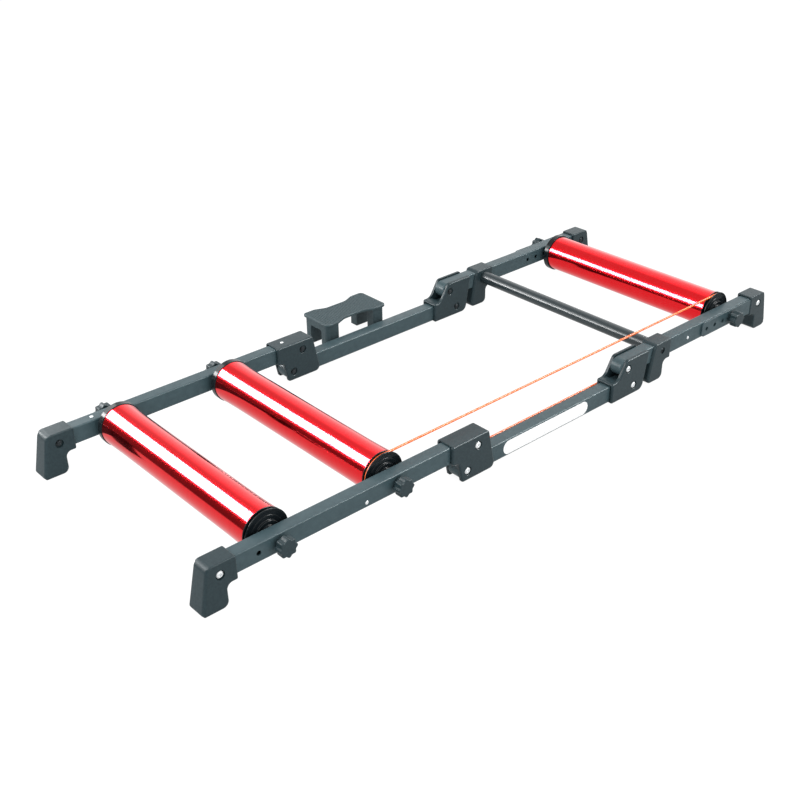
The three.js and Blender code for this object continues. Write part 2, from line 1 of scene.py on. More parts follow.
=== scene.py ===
"""Folding bike rollers in a pale studio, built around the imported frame.

Everything is in metres. +X points from the rear to the front of the frame, +Z up and +Y to the left,
where the step stool stands; the drive belt runs on the right. Each class below makes one sub-assembly
from its own sizes and takes its places from the frame.
"""
import json
import logging
import math
from dataclasses import dataclass
from enum import Enum
from typing import Any, Sequence

import bmesh
import bpy
from mathutils import Matrix, Vector

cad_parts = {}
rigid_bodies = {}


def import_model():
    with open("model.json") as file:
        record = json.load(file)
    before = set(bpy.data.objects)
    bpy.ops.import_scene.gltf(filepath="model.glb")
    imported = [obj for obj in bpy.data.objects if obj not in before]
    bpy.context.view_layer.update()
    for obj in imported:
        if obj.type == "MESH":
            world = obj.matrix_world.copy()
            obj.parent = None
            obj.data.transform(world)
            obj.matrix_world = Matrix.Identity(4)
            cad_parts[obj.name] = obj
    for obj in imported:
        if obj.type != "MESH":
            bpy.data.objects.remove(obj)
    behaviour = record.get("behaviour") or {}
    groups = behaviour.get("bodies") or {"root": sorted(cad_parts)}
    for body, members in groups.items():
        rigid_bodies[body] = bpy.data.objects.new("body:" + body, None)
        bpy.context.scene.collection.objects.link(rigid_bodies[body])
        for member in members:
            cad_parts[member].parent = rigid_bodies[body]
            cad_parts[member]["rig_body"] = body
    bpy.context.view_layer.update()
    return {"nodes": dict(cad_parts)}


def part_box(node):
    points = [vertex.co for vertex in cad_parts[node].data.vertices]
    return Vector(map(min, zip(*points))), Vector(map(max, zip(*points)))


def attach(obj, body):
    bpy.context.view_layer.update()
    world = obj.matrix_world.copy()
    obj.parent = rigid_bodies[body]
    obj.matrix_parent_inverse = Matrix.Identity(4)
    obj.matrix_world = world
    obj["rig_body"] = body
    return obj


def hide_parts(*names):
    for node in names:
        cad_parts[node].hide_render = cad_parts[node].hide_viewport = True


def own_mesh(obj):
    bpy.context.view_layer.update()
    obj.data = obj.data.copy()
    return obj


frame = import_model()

ARC_STEP = math.radians(9)       # largest angle between two points of an outline's arc
FILLET_STEP = math.radians(15)   # the same on the profile of a turned part
EDGE_RINGS = 4                   # steps over a rounded edge
HOLE_SIDES = 40                  # sides of a hole
SHARP_ANGLE = math.radians(34)   # edges that bend further are shaded sharp
LEAST_STRETCH = 0.4              # holds the points of an acute corner back when they are inset
WELD = 1e-7                      # points nearer than this are one point
OVERRUN = 0.04                   # how far a cut runs on past the solid
FIT = 0.0003                     # play between two parts, one in the other
BOLT_HOLE = 0.0038               # radius of the holes for bolts
AXLE_HOLE = 0.0043               # radius of the holes for axles
WAVE_SCALE = math.pi / 10        # scale that sets the lines of a wave texture one metre apart
MIX_NUMBERS = (2, 3)             # a Mix node's number inputs, which share their names with others
MIX_COLOURS = (6, 7)             # its colour inputs
MIX_COLOUR_OUT = 2               # its colour output
ROLLERS = ("rear", "middle", "front")

Point = tuple[float, float]
Range = tuple[float, float]
Corner = tuple[float, float, float]
Colour = tuple[float, float, float]
Triple = tuple[float, float, float]
Tree = bpy.types.NodeTree
Node = bpy.types.Node
Socket = bpy.types.NodeSocket

log = logging.getLogger("bike_rollers")


class Side(Enum):
    """Side of the frame, with the sign of its Y."""

    LEFT = 1
    RIGHT = -1

    @classmethod
    def of(cls, node: str) -> "Side":
        """Side that the name of a node ends in."""
        return cls.LEFT if node.endswith("left") else cls.RIGHT

    @property
    def word(self) -> str:
        """Ending of the names of the nodes on this side."""
        return self.name.lower()

    @property
    def turn(self) -> float:
        """Turn about the vertical axis that brings a left shape to this side."""
        return 0.0 if self is Side.LEFT else math.pi


class Plane(Enum):
    """Plane that an outline is drawn in; its level runs along the third axis."""

    SIDE = "x and z"
    END = "y and z"
    PLAN = "x and y"

    def place(self, u: float, v: float, level: float) -> Vector:
        """Point of the frame for an outline point (u, v) at a level."""
        places = {Plane.SIDE: (u, level, v), Plane.END: (level, u, v), Plane.PLAN: (u, v, level)}
        return Vector(places[self])


# Outlines

def rounded_outline(corners: Sequence[Corner], step: float = ARC_STEP) -> list[Point]:
    """Rounds each corner by its own radius, as far as its sides allow.

    Args:
        corners: (u, v, radius) of each corner in order.
        step: largest angle between two points of an arc.

    Returns:
        The points of the closed outline, counter-clockwise.
    """
    points: list[Point] = []
    for i, (u, v, radius) in enumerate(corners):
        at = Vector((u, v))
        back = Vector(corners[i - 1][:2]) - at
        ahead = Vector(corners[(i + 1) % len(corners)][:2]) - at
        half = back.angle(ahead) / 2
        run = min(radius / math.tan(half), back.length / 2, ahead.length / 2)
        if run < WELD:
            points.append((u, v))
            continue
        arm = run * math.tan(half)
        centre = at + (back.normalized() + ahead.normalized()).normalized() * (run / math.cos(half))
        start = at + back.normalized() * run - centre
        end = at + ahead.normalized() * run - centre
        turn = math.copysign(math.pi - 2 * half, start.x * end.y - start.y * end.x)
        first = math.atan2(start.y, start.x)
        steps = max(1, math.ceil(abs(turn) / step))
        for k in range(steps + 1):
            angle = first + turn * k / steps
            points.append((centre.x + arm * math.cos(angle), centre.y + arm * math.sin(angle)))
    apart = [p for i, p in enumerate(points) if math.dist(p, points[i - 1]) > WELD]
    return apart if signed_area(apart) > 0 else apart[::-1]


def signed_area(points: Sequence[Point]) -> float:
    """Area inside an outline, positive when it runs counter-clockwise."""
    pairs = zip(points, [*points[1:], points[0]])
    return sum(u * next_v - next_u * v for (u, v), (next_u, next_v) in pairs) / 2


def rectangle(left: float, low: float, right: float, high: float, radius: float = 0.0) -> list[Point]:
    """Rectangle from two opposite corners, its corners rounded by one radius."""
    corners = [(left, low), (right, low), (right, high), (left, high)]
    return rounded_outline([(u, v, radius) for u, v in corners])


def circle(radius: float, u: float = 0.0, v: float = 0.0, sides: int = HOLE_SIDES) -> list[Point]:
    """Regular polygon with its first point along +u from the centre (u, v)."""
    turns = [2 * math.pi * i / sides for i in range(sides)]
    return [(u + radius * math.cos(a), v + radius * math.sin(a)) for a in turns]


def inset_outline(points: Sequence[Point], insets: Sequence[float]) -> list[Point]:
    """Moves each point of a counter-clockwise outline inwards by its own distance.

    Args:
        points: the outline.
        insets: one distance for each point; a negative one moves it outwards.

    Returns:
        The moved points.
    """
    moved: list[Point] = []
    for i, (u, v) in enumerate(points):
        before = Vector((u - points[i - 1][0], v - points[i - 1][1])).normalized()
        next_u, next_v = points[(i + 1) % len(points)]
        after = Vector((next_u - u, next_v - v)).normalized()
        mean = Vector((-before.y - after.y, before.x + after.x)).normalized()
        stretch = mean.dot(Vector((-before.y, before.x)))
        reach = insets[i] / max(stretch, LEAST_STRETCH)
        moved.append((u + mean.x * reach, v + mean.y * reach))
    return moved


# Solids

def linked_object(name: str, data: bpy.types.ID) -> bpy.types.Object:
    """New object in the scene.

    Args:
        name: its name.
        data: mesh, lamp or camera that it shows.

    Returns:
        The object.
    """
    made = bpy.data.objects.new(name, data)
    bpy.context.scene.collection.objects.link(made)
    return made


def baked(carrier: bpy.types.Object, *helpers: bpy.types.Object) -> bpy.types.Mesh:
    """Plain mesh of an object with its modifiers applied.

    Args:
        carrier: the object; it is removed.
        helpers: objects that only its modifiers needed; they are removed too.

    Returns:
        The mesh.
    """
    evaluated = carrier.evaluated_get(bpy.context.evaluated_depsgraph_get())
    mesh = bpy.data.meshes.new_from_object(evaluated)
    for thing in (carrier, *helpers):
        bpy.data.objects.remove(thing)
    return mesh


class Solid:
    """Closed mesh that is cut, joined and moved until it is placed as a piece."""

    def __init__(self, mesh: bpy.types.Mesh) -> None:
        """Takes over a mesh whose faces already close it."""
        self.mesh = mesh

    @classmethod
    def sewn(cls, shape: bmesh.types.BMesh) -> "Solid":
        """Welds a shape's doubles and turns its faces outwards.

        Args:
            shape: the faces of the solid; it is freed.

        Returns:
            The solid.
        """
        bmesh.ops.remove_doubles(shape, verts=shape.verts, dist=WELD)
        bmesh.ops.recalc_face_normals(shape, faces=shape.faces)
        mesh = bpy.data.meshes.new("solid")
        shape.to_mesh(mesh)
        shape.free()
        return cls(mesh)

    def moved(self, place: Sequence[float], turn: float = 0.0) -> "Solid":
        """Copy of the solid, turned about the vertical axis and then shifted.

        Args:
            place: (x, y, z) of the shift.
            turn: angle of the turn.

        Returns:
            The copy.
        """
        copy = self.mesh.copy()
        copy.transform(Matrix.Translation(place) @ Matrix.Rotation(turn, 4, "Z"))
        return Solid(copy)

    def flared(self, share: float, height: float) -> "Solid":
        """Widens the solid in Y towards the floor.

        Args:
            share: how much wider it gets at the floor.
            height: height at which the flare has faded out.

        Returns:
            The same solid.
        """
        for vertex in self.mesh.vertices:
            vertex.co.y *= 1 + share * (1 - vertex.co.z / height)
        return self

    def beside(self, *others: "Solid") -> "Solid":
        """One mesh of this solid and others that don't touch it.

        Args:
            others: the other solids.

        Returns:
            The solid of them all.
        """
        shape = bmesh.new()
        for solid in (self, *others):
            shape.from_mesh(solid.mesh)
        return Solid.sewn(shape)

    def _combined(self, operation: str, others: Sequence["Solid"]) -> "Solid":
        """Combines the solid with each of the others in turn.

        Args:
            operation: name of the boolean operation.
            others: the other solids.

        Returns:
            The new solid.
        """
        body = linked_object("body", self.mesh)
        tools = [linked_object("tool", other.mesh) for other in others]
        for tool in tools:
            step = body.modifiers.new("combine", "BOOLEAN")
            step.operation = operation
            step.solver = "EXACT"
            step.object = tool
        return Solid(baked(body, *tools))

    def cut(self, *tools: "Solid") -> "Solid":
        """The solid less each tool."""
        return self._combined("DIFFERENCE", tools)

    def joined(self, *others: "Solid") -> "Solid":
        """The solid with others added to it."""
        return self._combined("UNION", others)

    def shared(self, other: "Solid") -> "Solid":
        """What the solid has in common with another."""
        return self._combined("INTERSECT", [other])


def loft(outlines: Sequence[Sequence[Point]], levels: Sequence[Sequence[float]], plane: Plane) -> Solid:
    """Closed solid through outlines of the same number of points.

    Args:
        outlines: the outlines in order.
        levels: for each outline, the level of each of its points.
        plane: plane that the outlines are drawn in.

    Returns:
        The solid, flat at both ends.
    """
    shape = bmesh.new()
    rings = []
    for outline, heights in zip(outlines, levels):
        rings.append([shape.verts.new(plane.place(u, v, h)) for (u, v), h in zip(outline, heights)])
    for lower, upper in zip(rings, rings[1:]):
        for i in range(len(lower)):
            shape.faces.new((lower[i - 1], lower[i], upper[i], upper[i - 1]))
    shape.faces.new(rings[0])
    shape.faces.new(rings[-1])
    return Solid.sewn(shape)


def stacked(outline: Sequence[Point], stations: Sequence[Point], plane: Plane) -> Solid:
    """Solid of one outline, drawn in by an inset at each of several levels.

    Args:
        outline: the outline, counter-clockwise.
        stations: (inset, level) pairs in order.
        plane: plane that the outline is drawn in.

    Returns:
        The solid.
    """
    count = len(outline)
    outlines = [inset_outline(outline, [inset] * count) for inset, _ in stations]
    return loft(outlines, [[level] * count for _, level in stations], plane)


def prism(outline: Sequence[Point], low: float, high: float, plane: Plane,
          edge: float | Sequence[float] = 0.0) -> Solid:
    """Extrusion between two levels, the edges round both flat faces rounded.

    Args:
        outline: the outline, counter-clockwise.
        low: lower level.
        high: upper level.
        plane: plane that the outline is drawn in.
        edge: radius of the edges, or one for each point of the outline.

    Returns:
        The solid.
    """
    edges = [edge] * len(outline) if isinstance(edge, float) else list(edge)
    if max(edges) == 0:
        return loft([outline, outline], [[low] * len(outline), [high] * len(outline)], plane)
    angles = [math.pi / 2 * k / EDGE_RINGS for k in range(EDGE_RINGS + 1)]
    rings = [inset_outline(outline, [e * (1 - math.sin(a)) for e in edges]) for a in angles]
    rise = [[e * (1 - math.cos(a)) for e in edges] for a in angles]
    lower = [[low + r for r in row] for row in rise]
    upper = [[high - r for r in row] for row in rise]
    return loft([*rings, *rings[::-1]], [*lower, *upper[::-1]], plane)


def rod(radius: float, low: float, high: float, x: float = 0.0, z: float = 0.0) -> Solid:
    """Round bar along Y between two levels, its axis at (x, z)."""
    return prism(circle(radius, x, z), low, high, Plane.SIDE)


def revolved(profile: Sequence[Corner], sides: int) -> Solid:
    """Solid of revolution about the Y axis.

    Args:
        profile: closed loop of (radius, y, fillet) corners.
        sides: number of steps round the axis.

    Returns:
        The solid.
    """
    loop = rounded_outline(profile, FILLET_STEP)
    shape = bmesh.new()
    rings = []
    for k in range(sides):
        angle = 2 * math.pi * k / sides
        rings.append([shape.verts.new((r * math.cos(angle), y, r * math.sin(angle))) for r, y in loop])
    for k, ring in enumerate(rings):
        for i in range(len(loop)):
            if max(loop[i - 1][0], loop[i][0]) > WELD:
                shape.faces.new((rings[k - 1][i - 1], rings[k - 1][i], ring[i], ring[i - 1]))
    return Solid.sewn(shape)


# Places in the frame

def node_centre(node: str) -> Vector:
    """Middle of a node's box at rest."""
    low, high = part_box(node)
    return (low + high) / 2


def rail_plane(side: Side) -> float:
    """Y of the middle plane of the rails on one side."""
    return node_centre(f"middle_rail_{side.word}").y


def body_of(node: str) -> str:
    """Body that a node belongs to."""
    return frame["nodes"][node]["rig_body"]


# Node trees

def add_node(tree: Tree, kind: str, inputs: dict[Any, Any] | None = None, **settings: Any) -> Node:
    """Adds a node to a tree, sets it up and wires its inputs.

    Args:
        tree: shader or geometry tree.
        kind: type name of the node.
        inputs: socket name or index to a value, to the output that feeds it, or to a node whose first
            output feeds it.
        settings: attributes of the node, set before its inputs.

    Returns:
        The node.
    """
    node = tree.nodes.new(kind)
    for name, value in settings.items():
        setattr(node, name, value)
    for socket, value in (inputs or {}).items():
        source = value.outputs[0] if isinstance(value, Node) else value
        if isinstance(source, Socket):
            tree.links.new(source, node.inputs[socket])
        else:
            node.inputs[socket].default_value = source
    return node


def mix(tree: Tree, factor: Any, first: Any, second: Any) -> Node:
    """Node that goes from one number to another as a factor goes from 0 to 1."""
    low, high = MIX_NUMBERS
    return add_node(tree, "ShaderNodeMix", {"Factor": factor, low: first, high: second})


def empty_tree(owner: bpy.types.Material | bpy.types.World) -> Tree:
    """Shader tree of a material or world, cleared of its nodes.

    Args:
        owner: the material or world.

    Returns:
        The tree.
    """
    owner.use_nodes = True
    owner.node_tree.nodes.clear()
    return owner.node_tree


def geometry_tree(name: str, inputs: dict[str, str]) -> tuple[Tree, bpy.types.NodeOutputs]:
    """New Geometry Nodes tree that takes and gives one geometry.

    Args:
        name: name of the tree.
        inputs: name of each further input to the type of its socket.

    Returns:
        The tree and the sockets that bring its inputs.
    """
    tree = bpy.data.node_groups.new(name, "GeometryNodeTree")
    for way in ("INPUT", "OUTPUT"):
        tree.interface.new_socket("Geometry", in_out=way, socket_type="NodeSocketGeometry")
    for label, kind in inputs.items():
        tree.interface.new_socket(label, in_out="INPUT", socket_type=kind)
    return tree, tree.nodes.new("NodeGroupInput").outputs


def close_tree(tree: Tree, geometry: Node, material: Socket) -> None:
    """Ends a geometry tree in Realize Instances and Set Material.

    Args:
        tree: the tree.
        geometry: node that makes the geometry.
        material: input that brings the material.
    """
    real = add_node(tree, "GeometryNodeRealizeInstances", {"Geometry": geometry})
    dressed = add_node(tree, "GeometryNodeSetMaterial", {"Geometry": real, "Material": material})
    add_node(tree, "NodeGroupOutput", {"Geometry": dressed})


def grown(base: bpy.types.Mesh, tree: Tree, values: dict[str, Any]) -> Solid:
    """Runs a geometry tree on a mesh.

    Args:
        base: mesh of the points or of the path that the tree starts from.
        tree: the tree.
        values: value of each of the tree's named inputs.

    Returns:
        The tree's result as a plain mesh.
    """
    carrier = linked_object("carrier", base)
    step = carrier.modifiers.new(tree.name, "NODES")
    step.node_group = tree
    for item in tree.interface.items_tree:
        if item.in_out == "INPUT" and item.name in values:
            step[item.identifier] = values[item.name]
    return Solid(baked(carrier))


# Finishes

@dataclass(frozen=True)
class Finish:
    """Procedural surface: a mottled colour under a fine grain.

    Lengths of the patterns are in metres; a stretch of 0 along an axis makes the pattern run
    unchanged along it, as turning marks run round a drum.
    """

    name: str
    colour: Colour
    patch: Colour
    slot: str | None = None
    patch_size: float = 0.006
    patch_stretch: Triple = (1.0, 1.0, 1.0)
    patch_detail: float = 4.0
    patch_range: Range = (0.35, 0.65)
    gloss_range: Range = (0.3, 0.7)
    grain_size: float = 0.0006
    grain_depth: float = 0.00002
    grain_stretch: Triple = (1.0, 1.0, 1.0)
    grain_detail: float = 2.0
    roughness: Range = (0.4, 0.5)
    metallic: float = 0.0
    coat: float = 0.0
    coat_roughness: float = 0.03
    coat_ior: float = 1.5
    specular: float = 0.5
    hatch_pitch: float = 0.0
    hatch_depth: float = 0.00003
    hatch_turn: float = math.radians(45)
    hatch_wobble: float = 1.2
    wobble_detail: float = 1.0
    wobble_scale: float = 2.0
    streaked: bool = False

    def material(self) -> bpy.types.Material:
        """The finish's material, made once.

        Returns:
            The material.
        """
        made = bpy.data.materials.get(self.name + "_finish")
        if made is not None:
            return made
        material = bpy.data.materials.new(self.name + "_finish")
        tree = empty_tree(material)
        place = add_node(tree, "ShaderNodeTexCoord").outputs["Object"]
        patches = self._noise(tree, place, self.patch_size, self.patch_stretch, self.patch_detail)
        grain = self._noise(tree, place, self.grain_size, self.grain_stretch, self.grain_detail)
        spread = add_node(tree, "ShaderNodeMapRange", {
            "Value": patches, "From Min": self.patch_range[0], "From Max": self.patch_range[1],
        })
        first, second = MIX_COLOURS
        colour = add_node(tree, "ShaderNodeMix", {
            "Factor": spread, first: (*self.colour, 1.0), second: (*self.patch, 1.0),
        }, data_type="RGBA")
        rough = add_node(tree, "ShaderNodeMapRange", {
            "Value": patches, "From Min": self.gloss_range[0], "From Max": self.gloss_range[1],
            "To Min": self.roughness[0], "To Max": self.roughness[1],
        })
        bump = add_node(tree, "ShaderNodeBump", {"Height": grain, "Distance": self.grain_depth})
        if self.hatch_pitch > 0:
            bump = add_node(tree, "ShaderNodeBump", {
                "Height": self._hatch(tree, place), "Distance": self.hatch_depth, "Normal": bump,
            })
        surface = add_node(tree, "ShaderNodeBsdfPrincipled", {
            "Base Color": colour.outputs[MIX_COLOUR_OUT],
            "Metallic": self.metallic,
            "Roughness": rough,
            "Specular IOR Level": self.specular,
            "Coat Weight": self.coat,
            "Coat Roughness": self.coat_roughness,
            "Coat IOR": self.coat_ior,
            "Normal": bump,
        })
        add_node(tree, "ShaderNodeOutputMaterial", {"Surface": surface})
        return material

    @staticmethod
    def _noise(tree: Tree, place: Socket, size: float, stretch: Triple, detail: float) -> Socket:
        """Noise whose blobs are about one size across where they aren't drawn out.

        Args:
            tree: shader tree.
            place: coordinates that it reads.
            size: size of a blob.
            stretch: scale of the coordinates along each axis; below 1 it draws the blobs out.
            detail: how many finer noises are added.

        Returns:
            Its output.
        """
        mapping = add_node(tree, "ShaderNodeMapping", {"Vector": place, "Scale": stretch})
        noise = add_node(tree, "ShaderNodeTexNoise", {
            "Vector": mapping, "Scale": 1 / size, "Detail": detail,
        })
        return noise.outputs["Fac"]

    def _hatch(self, tree: Tree, place: Socket) -> Socket:
        """Fine slanted lines of a moulded texture, slightly uneven.

        Args:
            tree: shader tree.
            place: coordinates that they read.

        Returns:
            Their output.
        """
        mapping = add_node(tree, "ShaderNodeMapping", {
            "Vector": place, "Rotation": (0.0, self.hatch_turn, 0.0),
        })
        wave = add_node(tree, "ShaderNodeTexWave", {
            "Vector": mapping, "Scale": WAVE_SCALE / self.hatch_pitch,
            "Distortion": self.hatch_wobble, "Detail": self.wobble_detail,
            "Detail Scale": self.wobble_scale,
        })
        return wave.outputs["Fac"]


FRAME_PAINT = Finish(
    name="frame_paint", slot="frame_paint", colour=(0.047, 0.079, 0.090), patch=(0.039, 0.067, 0.077),
    patch_size=0.012, grain_size=0.0009, grain_depth=0.00002, roughness=(0.3, 0.38),
    specular=0.22,
)
# Frame paint on the cross tube, darkened: the darker colour is painted shade for the shade that the tube
# sits in under the frame.
SHADED_TUBE_PAINT = Finish(
    name="tube_paint", slot="frame_paint", colour=(0.022, 0.032, 0.037), patch=(0.018, 0.027, 0.031),
    patch_size=0.012, grain_size=0.0009, grain_depth=0.00001, roughness=(0.22, 0.28),
    specular=0.4,
)
MOULDED_PLASTIC = Finish(
    name="moulded_plastic", slot="moulded_plastic",
    colour=(0.022, 0.039, 0.045), patch=(0.017, 0.031, 0.037),
    patch_size=0.004, grain_size=0.0005, grain_depth=0.00002, roughness=(0.3, 0.4),
    specular=0.2, hatch_pitch=0.0022, hatch_depth=0.00002,
)
CAP_PLASTIC = Finish(
    name="cap_plastic", slot="cap_plastic", colour=(0.006, 0.009, 0.011), patch=(0.008, 0.011, 0.013),
    patch_size=0.008, grain_size=0.0008, grain_depth=0.000006, roughness=(0.15, 0.2),
    specular=0.2,
)
RED_ANODISED = Finish(
    name="red_anodised", slot="red_anodised", colour=(0.82, 0.010, 0.017), patch=(0.79, 0.008, 0.014),
    patch_size=0.01, patch_stretch=(0.05, 1.0, 0.05),
    grain_size=0.0007, grain_depth=0.000003, grain_stretch=(0.02, 1.0, 0.02),
    roughness=(0.11, 0.14), metallic=1.0, coat=0.25, streaked=True,
)
BEARING_STEEL = Finish(
    name="bearing_steel", slot="bearing_steel", colour=(0.80, 0.82, 0.83), patch=(0.70, 0.72, 0.73),
    grain_size=0.0004, grain_depth=0.000004, grain_stretch=(0.1, 1.0, 0.1),
    roughness=(0.22, 0.32), metallic=1.0,
)
DARK_STEEL = Finish(
    name="dark_steel", slot="dark_steel", colour=(0.030, 0.036, 0.040), patch=(0.020, 0.025, 0.028),
    grain_size=0.0004, grain_depth=0.000006, roughness=(0.3, 0.4), metallic=0.8,
)
ZINC = Finish(
    name="zinc", slot="zinc", colour=(0.80, 0.82, 0.83), patch=(0.66, 0.69, 0.70),
    patch_size=0.002, grain_size=0.0003, grain_depth=0.000006, roughness=(0.3, 0.42), metallic=0.35,
)
BELT_ORANGE = Finish(
    name="belt_orange", slot="belt_orange", colour=(1.0, 0.165, 0.008), patch=(0.96, 0.135, 0.006),
    patch_size=0.01, grain_size=0.0008, grain_depth=0.000015, roughness=(0.32, 0.42),
)
STOOL_PLASTIC = Finish(
    name="stool_plastic", slot="stool_plastic",
    colour=(0.048, 0.075, 0.084), patch=(0.038, 0.061, 0.069),
    patch_size=0.004, grain_size=0.0005, grain_depth=0.00003, roughness=(0.42, 0.52),
    specular=0.2,
)
LABEL_FILM = Finish(
    name="label_film", colour=(0.94, 0.95, 0.95), patch=(0.91, 0.92, 0.93),
    patch_size=0.02, grain_size=0.0012, grain_depth=0.000006, roughness=(0.34, 0.42), specular=0.4,
)


class Shown(Enum):
    """What a lamp or card of the studio does."""

    LIGHT = "lights everything and isn't mirrored"
    CARD = "shows in every mirror"
    STREAK = "is mirrored by the drums"
    GLINT = "is mirrored by all but the drums"

    def receivers(self) -> bpy.types.Collection:
        """The pieces that mirror this kind of lamp."""
        name = self.name.lower() + "_receivers"
        return bpy.data.collections.get(name) or bpy.data.collections.new(name)


def place_piece(name: str, solid: Solid, finish: Finish, nodes: Sequence[str] = (),
                body: str | None = None) -> bpy.types.Object:
    """Turns a solid into a finished piece of the scene.

    Args:
        name: name of the piece.
        solid: its shape, already in place.
        finish: its surface.
        nodes: CAD nodes that it stands for.
        body: body that it rides on; the first node's own body when it isn't given.

    Returns:
        The piece's object.
    """
    solid.mesh.shade_smooth()
    solid.mesh.set_sharp_from_angle(angle=SHARP_ANGLE)
    rough = linked_object(name + "_rough", solid.mesh)
    rough.modifiers.new("even_faces", "WEIGHTED_NORMAL").keep_sharp = True
    mesh = baked(rough)
    mesh.name = name
    mesh.materials.clear()
    mesh.materials.append(finish.material())
    piece = linked_object(name, mesh)
    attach(piece, body or frame["nodes"][nodes[0]]["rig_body"])
    (Shown.STREAK if finish.streaked else Shown.GLINT).receivers().objects.link(piece)
    piece.visible_diffuse = not finish.streaked
    piece.visible_glossy = not finish.streaked
    if nodes:
        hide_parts(*nodes)
    log.info("%s: %d faces", name, len(mesh.polygons))
    return piece


def place_pair(stem: str, ending: str, solid: Solid, x: float = 0.0, turn: float = 0.0) -> None:
    """Places a moulded part once on each side's rails.

    Args:
        stem: name of its nodes without their side.
        ending: last word of the names of the pieces.
        solid: its shape about the rail's middle plane.
        x: shift in X.
        turn: turn about the vertical axis before the shift.
    """
    for side in Side:
        name = f"{stem}_{side.word}"
        place = (x, rail_plane(side), 0.0)
        place_piece(f"{name}_{ending}", solid.moved(place, turn), MOULDED_PLASTIC, [name])


# Frame

@dataclass(frozen=True)
class Rails:
    """Square tubes of the three frame sections, both sides."""

    wall: float = 0.002
    corner: float = 0.0026
    bolt_hole: float = BOLT_HOLE
    axle_hole: float = AXLE_HOLE
    spare_hole_set: float = 0.0384

    def build(self) -> None:
        """Builds the six rails."""
        rear_axle = node_centre("rear_axle")
        self._pair("rear", False, [
            self._hole("rear_foot_bolt_left"),
            self._hole("rear_lock_bolt_left"),
            self._hole("rear_axle", self.axle_hole),
            self._hole("middle_axle", self.axle_hole),
        ], [(rear_axle.x - self.spare_hole_set, rear_axle.z, self.axle_hole)])
        self._pair("middle", True, [
            self._hole("rear_pivot_bolt_left"),
            self._hole("front_lock_bolt_left"),
        ])
        stations = AdjustingPlates().stations()
        self._pair("front", True, [
            self._hole("front_pivot_bolt_left"),
            self._hole("middle_foot_bolt_left"),
            self._hole("front_foot_bolt_left"),
            *[(x, rear_axle.z, self.axle_hole) for x in stations],
        ])

    def _hole(self, node: str, radius: float | None = None) -> Corner:
        """(x, z, radius) of the hole for a bolt or axle."""
        at = node_centre(node)
        return at.x, at.z, radius or self.bolt_hole

    def _pair(self, section: str, round_start: bool, holes: Sequence[Corner],
              outer_holes: Sequence[Corner] = ()) -> None:
        """Builds one section's left and right rail.

        Args:
            section: rear, middle or front.
            round_start: whether the rear end is round about its hinge pivot.
            holes: (x, z, radius) of each hole through the rail.
            outer_holes: the same for each hole through the outer wall alone.
        """
        low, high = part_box(f"{section}_rail_left")
        half = (high.y - low.y) / 2
        radius = (high.z - low.z) / 2 if round_start else 0.0
        tube = prism(self._side_view(low, high, radius), -half, half, Plane.SIDE, self.corner)
        wall = Vector((self.wall if round_start else -OVERRUN, 0.0, self.wall))
        inner_low, inner_high = low + wall, high - Vector((-OVERRUN, 0.0, self.wall))
        inner = self._side_view(inner_low, inner_high, max(radius - self.wall, 0.0))
        bore = prism(inner, self.wall - half, half - self.wall, Plane.SIDE)
        drilled = [rod(reach, -OVERRUN, OVERRUN, x, z) for x, z, reach in holes]
        rail = tube.cut(bore, *drilled)
        for side in Side:
            name = f"{section}_rail_{side.word}"
            ends = sorted((0.0, side.value * OVERRUN))
            outer = [rod(reach, *ends, x, z) for x, z, reach in outer_holes]
            own = rail.cut(*outer) if outer else rail
            place_piece(name + "_tube", own.moved((0.0, rail_plane(side), 0.0)), FRAME_PAINT, [name])

    @staticmethod
    def _side_view(low: Vector, high: Vector, radius: float) -> list[Point]:
        """(x, z) outline between two corners, its rear end rounded by a radius."""
        return rounded_outline([
            (low.x, low.z, radius), (high.x, low.z, 0.0), (high.x, high.z, 0.0), (low.x, high.z, radius),
        ])


@dataclass(frozen=True)
class BareLabel:
    """Blank white film with round ends on the outer face of the right middle rail."""

    behind_front_pivot: float = 0.105
    length: float = 0.2194
    height: float = 0.0268
    thickness: float = 0.00022
    edge: float = 0.00008

    def build(self) -> None:
        """Builds the label."""
        low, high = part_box("middle_rail_right")
        front = node_centre("front_pivot_bolt_right").x - self.behind_front_pivot
        middle = (low.z + high.z) / 2
        outline = rectangle(front - self.length, middle - self.height / 2, front,
                            middle + self.height / 2, self.height / 2)
        film = prism(outline, low.y - self.thickness, low.y + self.edge, Plane.SIDE, self.edge)
        place_piece("bare_label", film, LABEL_FILM, body=body_of("middle_rail_right"))


@dataclass(frozen=True)
class HingeForm:
    """Outline sizes of a hinge housing, from its pivot and its closed side."""

    sleeve_reach: float
    sleeve_height: float
    mouth_gap: float
    nose_reach: float
    nose_lean: float
    nose_radius: float
    toe_radius: float
    heel_reach: float
    heel_radius: float
    arch_lean: float
    arch_radius: float
    roof_reach: float


